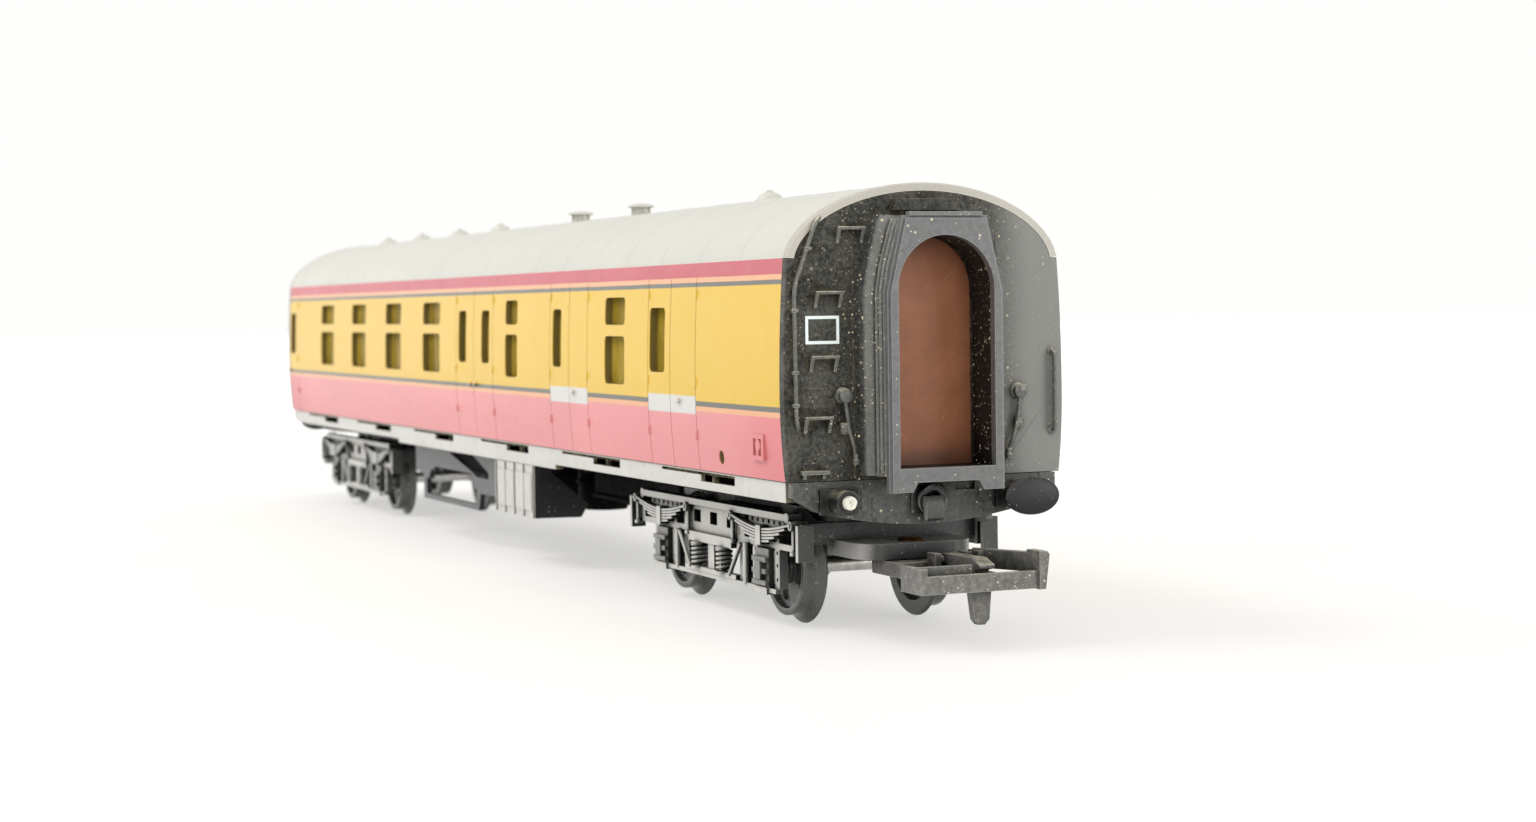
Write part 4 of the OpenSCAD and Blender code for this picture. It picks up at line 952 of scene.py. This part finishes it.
def build_coil(x, y, z, height, r, wire, turns):
    steps = 16
    points = []
    for k in range(turns * steps + 1):
        a = math.tau * k / steps
        climb = (height - 2 * wire) * k / (turns * steps)
        points.append((x + r * math.cos(a), y + r * math.sin(a), z + wire + climb))
    return sweep(points, circle(wire, 8))


def build_bogie_details(end):
    turn = bogie_matrix(end)
    body = "bogie_" + end
    springs = []
    for x in (-HALF_WHEELBASE, HALF_WHEELBASE):
        springs += build_leaf_spring(x)
    piece("leaf_spring_sets_" + end, body, "underframe_black", both_sides(springs), ["leaf_springs_" + end],
          material=materials["spring_black"], bevel=0.04, matrix=turn)
    coils = []
    top = COIL_Z + COIL_HEIGHT
    for x in (-4.2, 4.2):
        coils.append(build_coil(x, COIL_Y, COIL_Z, COIL_HEIGHT, 0.92, 0.2, 5))
        coils.append(tube([(x, COIL_Y, COIL_Z), (x, COIL_Y, top)], 0.5, 0))
        for z in (COIL_Z - 0.05, top - 0.2):
            coils.append(lathe([(1.15, 0), (1.15, 0.2), (0.0, 0.2)], (x, COIL_Y, z), "Z", 24))
    piece("bolster_coils_" + end, body, "underframe_black", both_sides(coils), ["bolster_springs_" + end],
          material=materials["spring_black"], matrix=turn)


# ---------------------------------------------------------------- everything else keeps its CAD mesh

# Width of the rounding along edges, where it isn't the usual one
SOFT_EDGE = {
    "body_shell": 0.05, "interior_moulding": 0.1, "corridor_partition": 0.05, "ballast_weight": 0.15,
    "glazing_near": 0.0, "glazing_far": 0.0, "side_fittings": 0.04, "gangway_faceplate_front": 0.14,
    "gangway_faceplate_rear": 0.14,
}
# Nodes whose finish is finer than their material slot's, by name without its end
FINISH_OF = {
    "end_wall": marked_end, "gangway_faceplate": materials["face_grey"],
    "solebars": materials["solebar_grey"], "headstock": materials["headstock_black"],
    "battery_boxes": materials["box_grey"], "coupling_bar": materials["coupling_grey"],
    "coupling_hook": materials["coupling_grey"], "side_frames": materials["frame_grey"],
    "axleboxes": materials["axlebox_grey"], "truss_frames": materials["truss_grey"],
    "underframe_floor": materials["floor_black"], "buffer_housings": materials["housing_black"],
    "vacuum_cylinders": materials["floor_black"], "centre_sills": materials["floor_black"],
}


def finish_cad_nodes():
    slot_of = {s["node"]: s["material_slot"] for s in frame["record"]["subparts"]}
    for name, obj in frame["nodes"].items():
        if obj.hide_render:
            continue
        kind = name.removesuffix("_front").removesuffix("_rear")
        obj.data.materials.clear()
        obj.data.materials.append(FINISH_OF.get(kind) or materials[slot_of[name]])
        soften(obj, SOFT_EDGE.get(name, 0.08))


build_roof()
build_bellows()
build_gangway_doors()
build_end_steps()
build_end_pipes()
build_end_rails()
build_buffers()
build_draw_hooks()
for end_name in ("front", "rear"):
    build_bogie_details(end_name)
finish_cad_nodes()


# ---------------------------------------------------------------- stage

def build_stage():
    """White paper under the coach, which glows more the farther away it is, and a white room round it."""
    mesh = bpy.data.meshes.new("floor")
    half = 4.0
    corners = [(-half, -half, 0), (half, -half, 0), (half, half, 0), (-half, half, 0)]
    mesh.from_pydata(corners, [], [(0, 1, 2, 3)])
    floor = bpy.data.objects.new("floor", mesh)
    bpy.context.scene.collection.objects.link(floor)
    g = Graph("floor_paper")
    grain = g.mix(g.noise(60, 4), (0.31, 0.305, 0.285, 1), (0.35, 0.345, 0.33, 1))
    away = g.ramp(g.vector_math("LENGTH", g.co), 170, 700)
    glow = g.add(g.times(away, 0.5), 0.54)
    mesh.materials.append(g.finish(grain, 0.7, Specular_IOR_Level=0.2, Emission_Color=(1, 0.99, 0.97, 1),
                                   Emission_Strength=glow))
    world = bpy.data.worlds.new("studio")
    bpy.context.scene.world = world
    world.use_nodes = True
    background = world.node_tree.nodes["Background"]
    background.inputs["Color"].default_value = (1.0, 0.995, 0.985, 1)
    background.inputs["Strength"].default_value = 1.0


def area_light(name, place, target, size, power):
    """A rectangular soft light at place, turned towards target; lengths in metres, power in watts."""
    light = bpy.data.lights.new(name, "AREA")
    light.shape = "RECTANGLE"
    light.size, light.size_y = size
    light.energy = power
    obj = bpy.data.objects.new(name, light)
    bpy.context.scene.collection.objects.link(obj)
    obj.location = place
    obj.rotation_mode = "QUATERNION"
    obj.rotation_quaternion = (Vector(target) - Vector(place)).to_track_quat("-Z", "Y")


def build_camera():
    """The main view: from the van end, just above the waist, close enough to show depth."""
    yaw, pitch, roll = math.radians(23.147), math.radians(2.388), math.radians(-0.815)
    forward = Vector((-math.cos(yaw) * math.cos(pitch), math.sin(yaw) * math.cos(pitch), -math.sin(pitch)))
    level = Vector((math.sin(yaw), math.cos(yaw), 0))
    up = level.cross(forward)
    right = math.cos(roll) * level + math.sin(roll) * up
    up = math.cos(roll) * up - math.sin(roll) * level
    camera = bpy.data.objects.new("camera", bpy.data.cameras.new("camera"))
    bpy.context.scene.collection.objects.link(camera)
    camera.data.sensor_width = 36
    camera.data.lens = 58.16
    camera.data.clip_start = 0.01
    camera.matrix_world = Matrix((right, up, -forward)).transposed().to_4x4()
    camera.location = (0.385442, -0.129571, 0.038435)
    # Sharp at the van end, softer towards the far one
    sharp_at = bpy.data.objects.new("sharp_at", None)
    bpy.context.scene.collection.objects.link(sharp_at)
    sharp_at.location = (0.131, 0.0, 0.03)
    camera.data.dof.use_dof = True
    camera.data.dof.focus_object = sharp_at
    camera.data.dof.aperture_fstop = 50
    bpy.context.scene.camera = camera


build_stage()
# Main light, high on the near side; a tall panel far along the near side gives the sides their pale sheen;
# a card beyond the far corner brightens that half of the ends
area_light("key", (-0.35, -0.75, 0.95), (0.0, 0.0, 0.02), (0.7, 0.5), 9)
area_light("side_sheen", (-1.0, -0.42, 0.12), (0.0, -0.02, 0.02), (0.5, 0.5), 0.8)
area_light("end_card", (0.95, 0.75, 0.25), (0.13, 0.0, 0.03), (0.5, 0.5), 4)
area_light("front_fill", (1.15, -0.25, 0.35), (0.13, 0.0, 0.03), (0.6, 0.6), 3.5)
build_camera()
bpy.context.scene.view_settings.view_transform = "Standard"
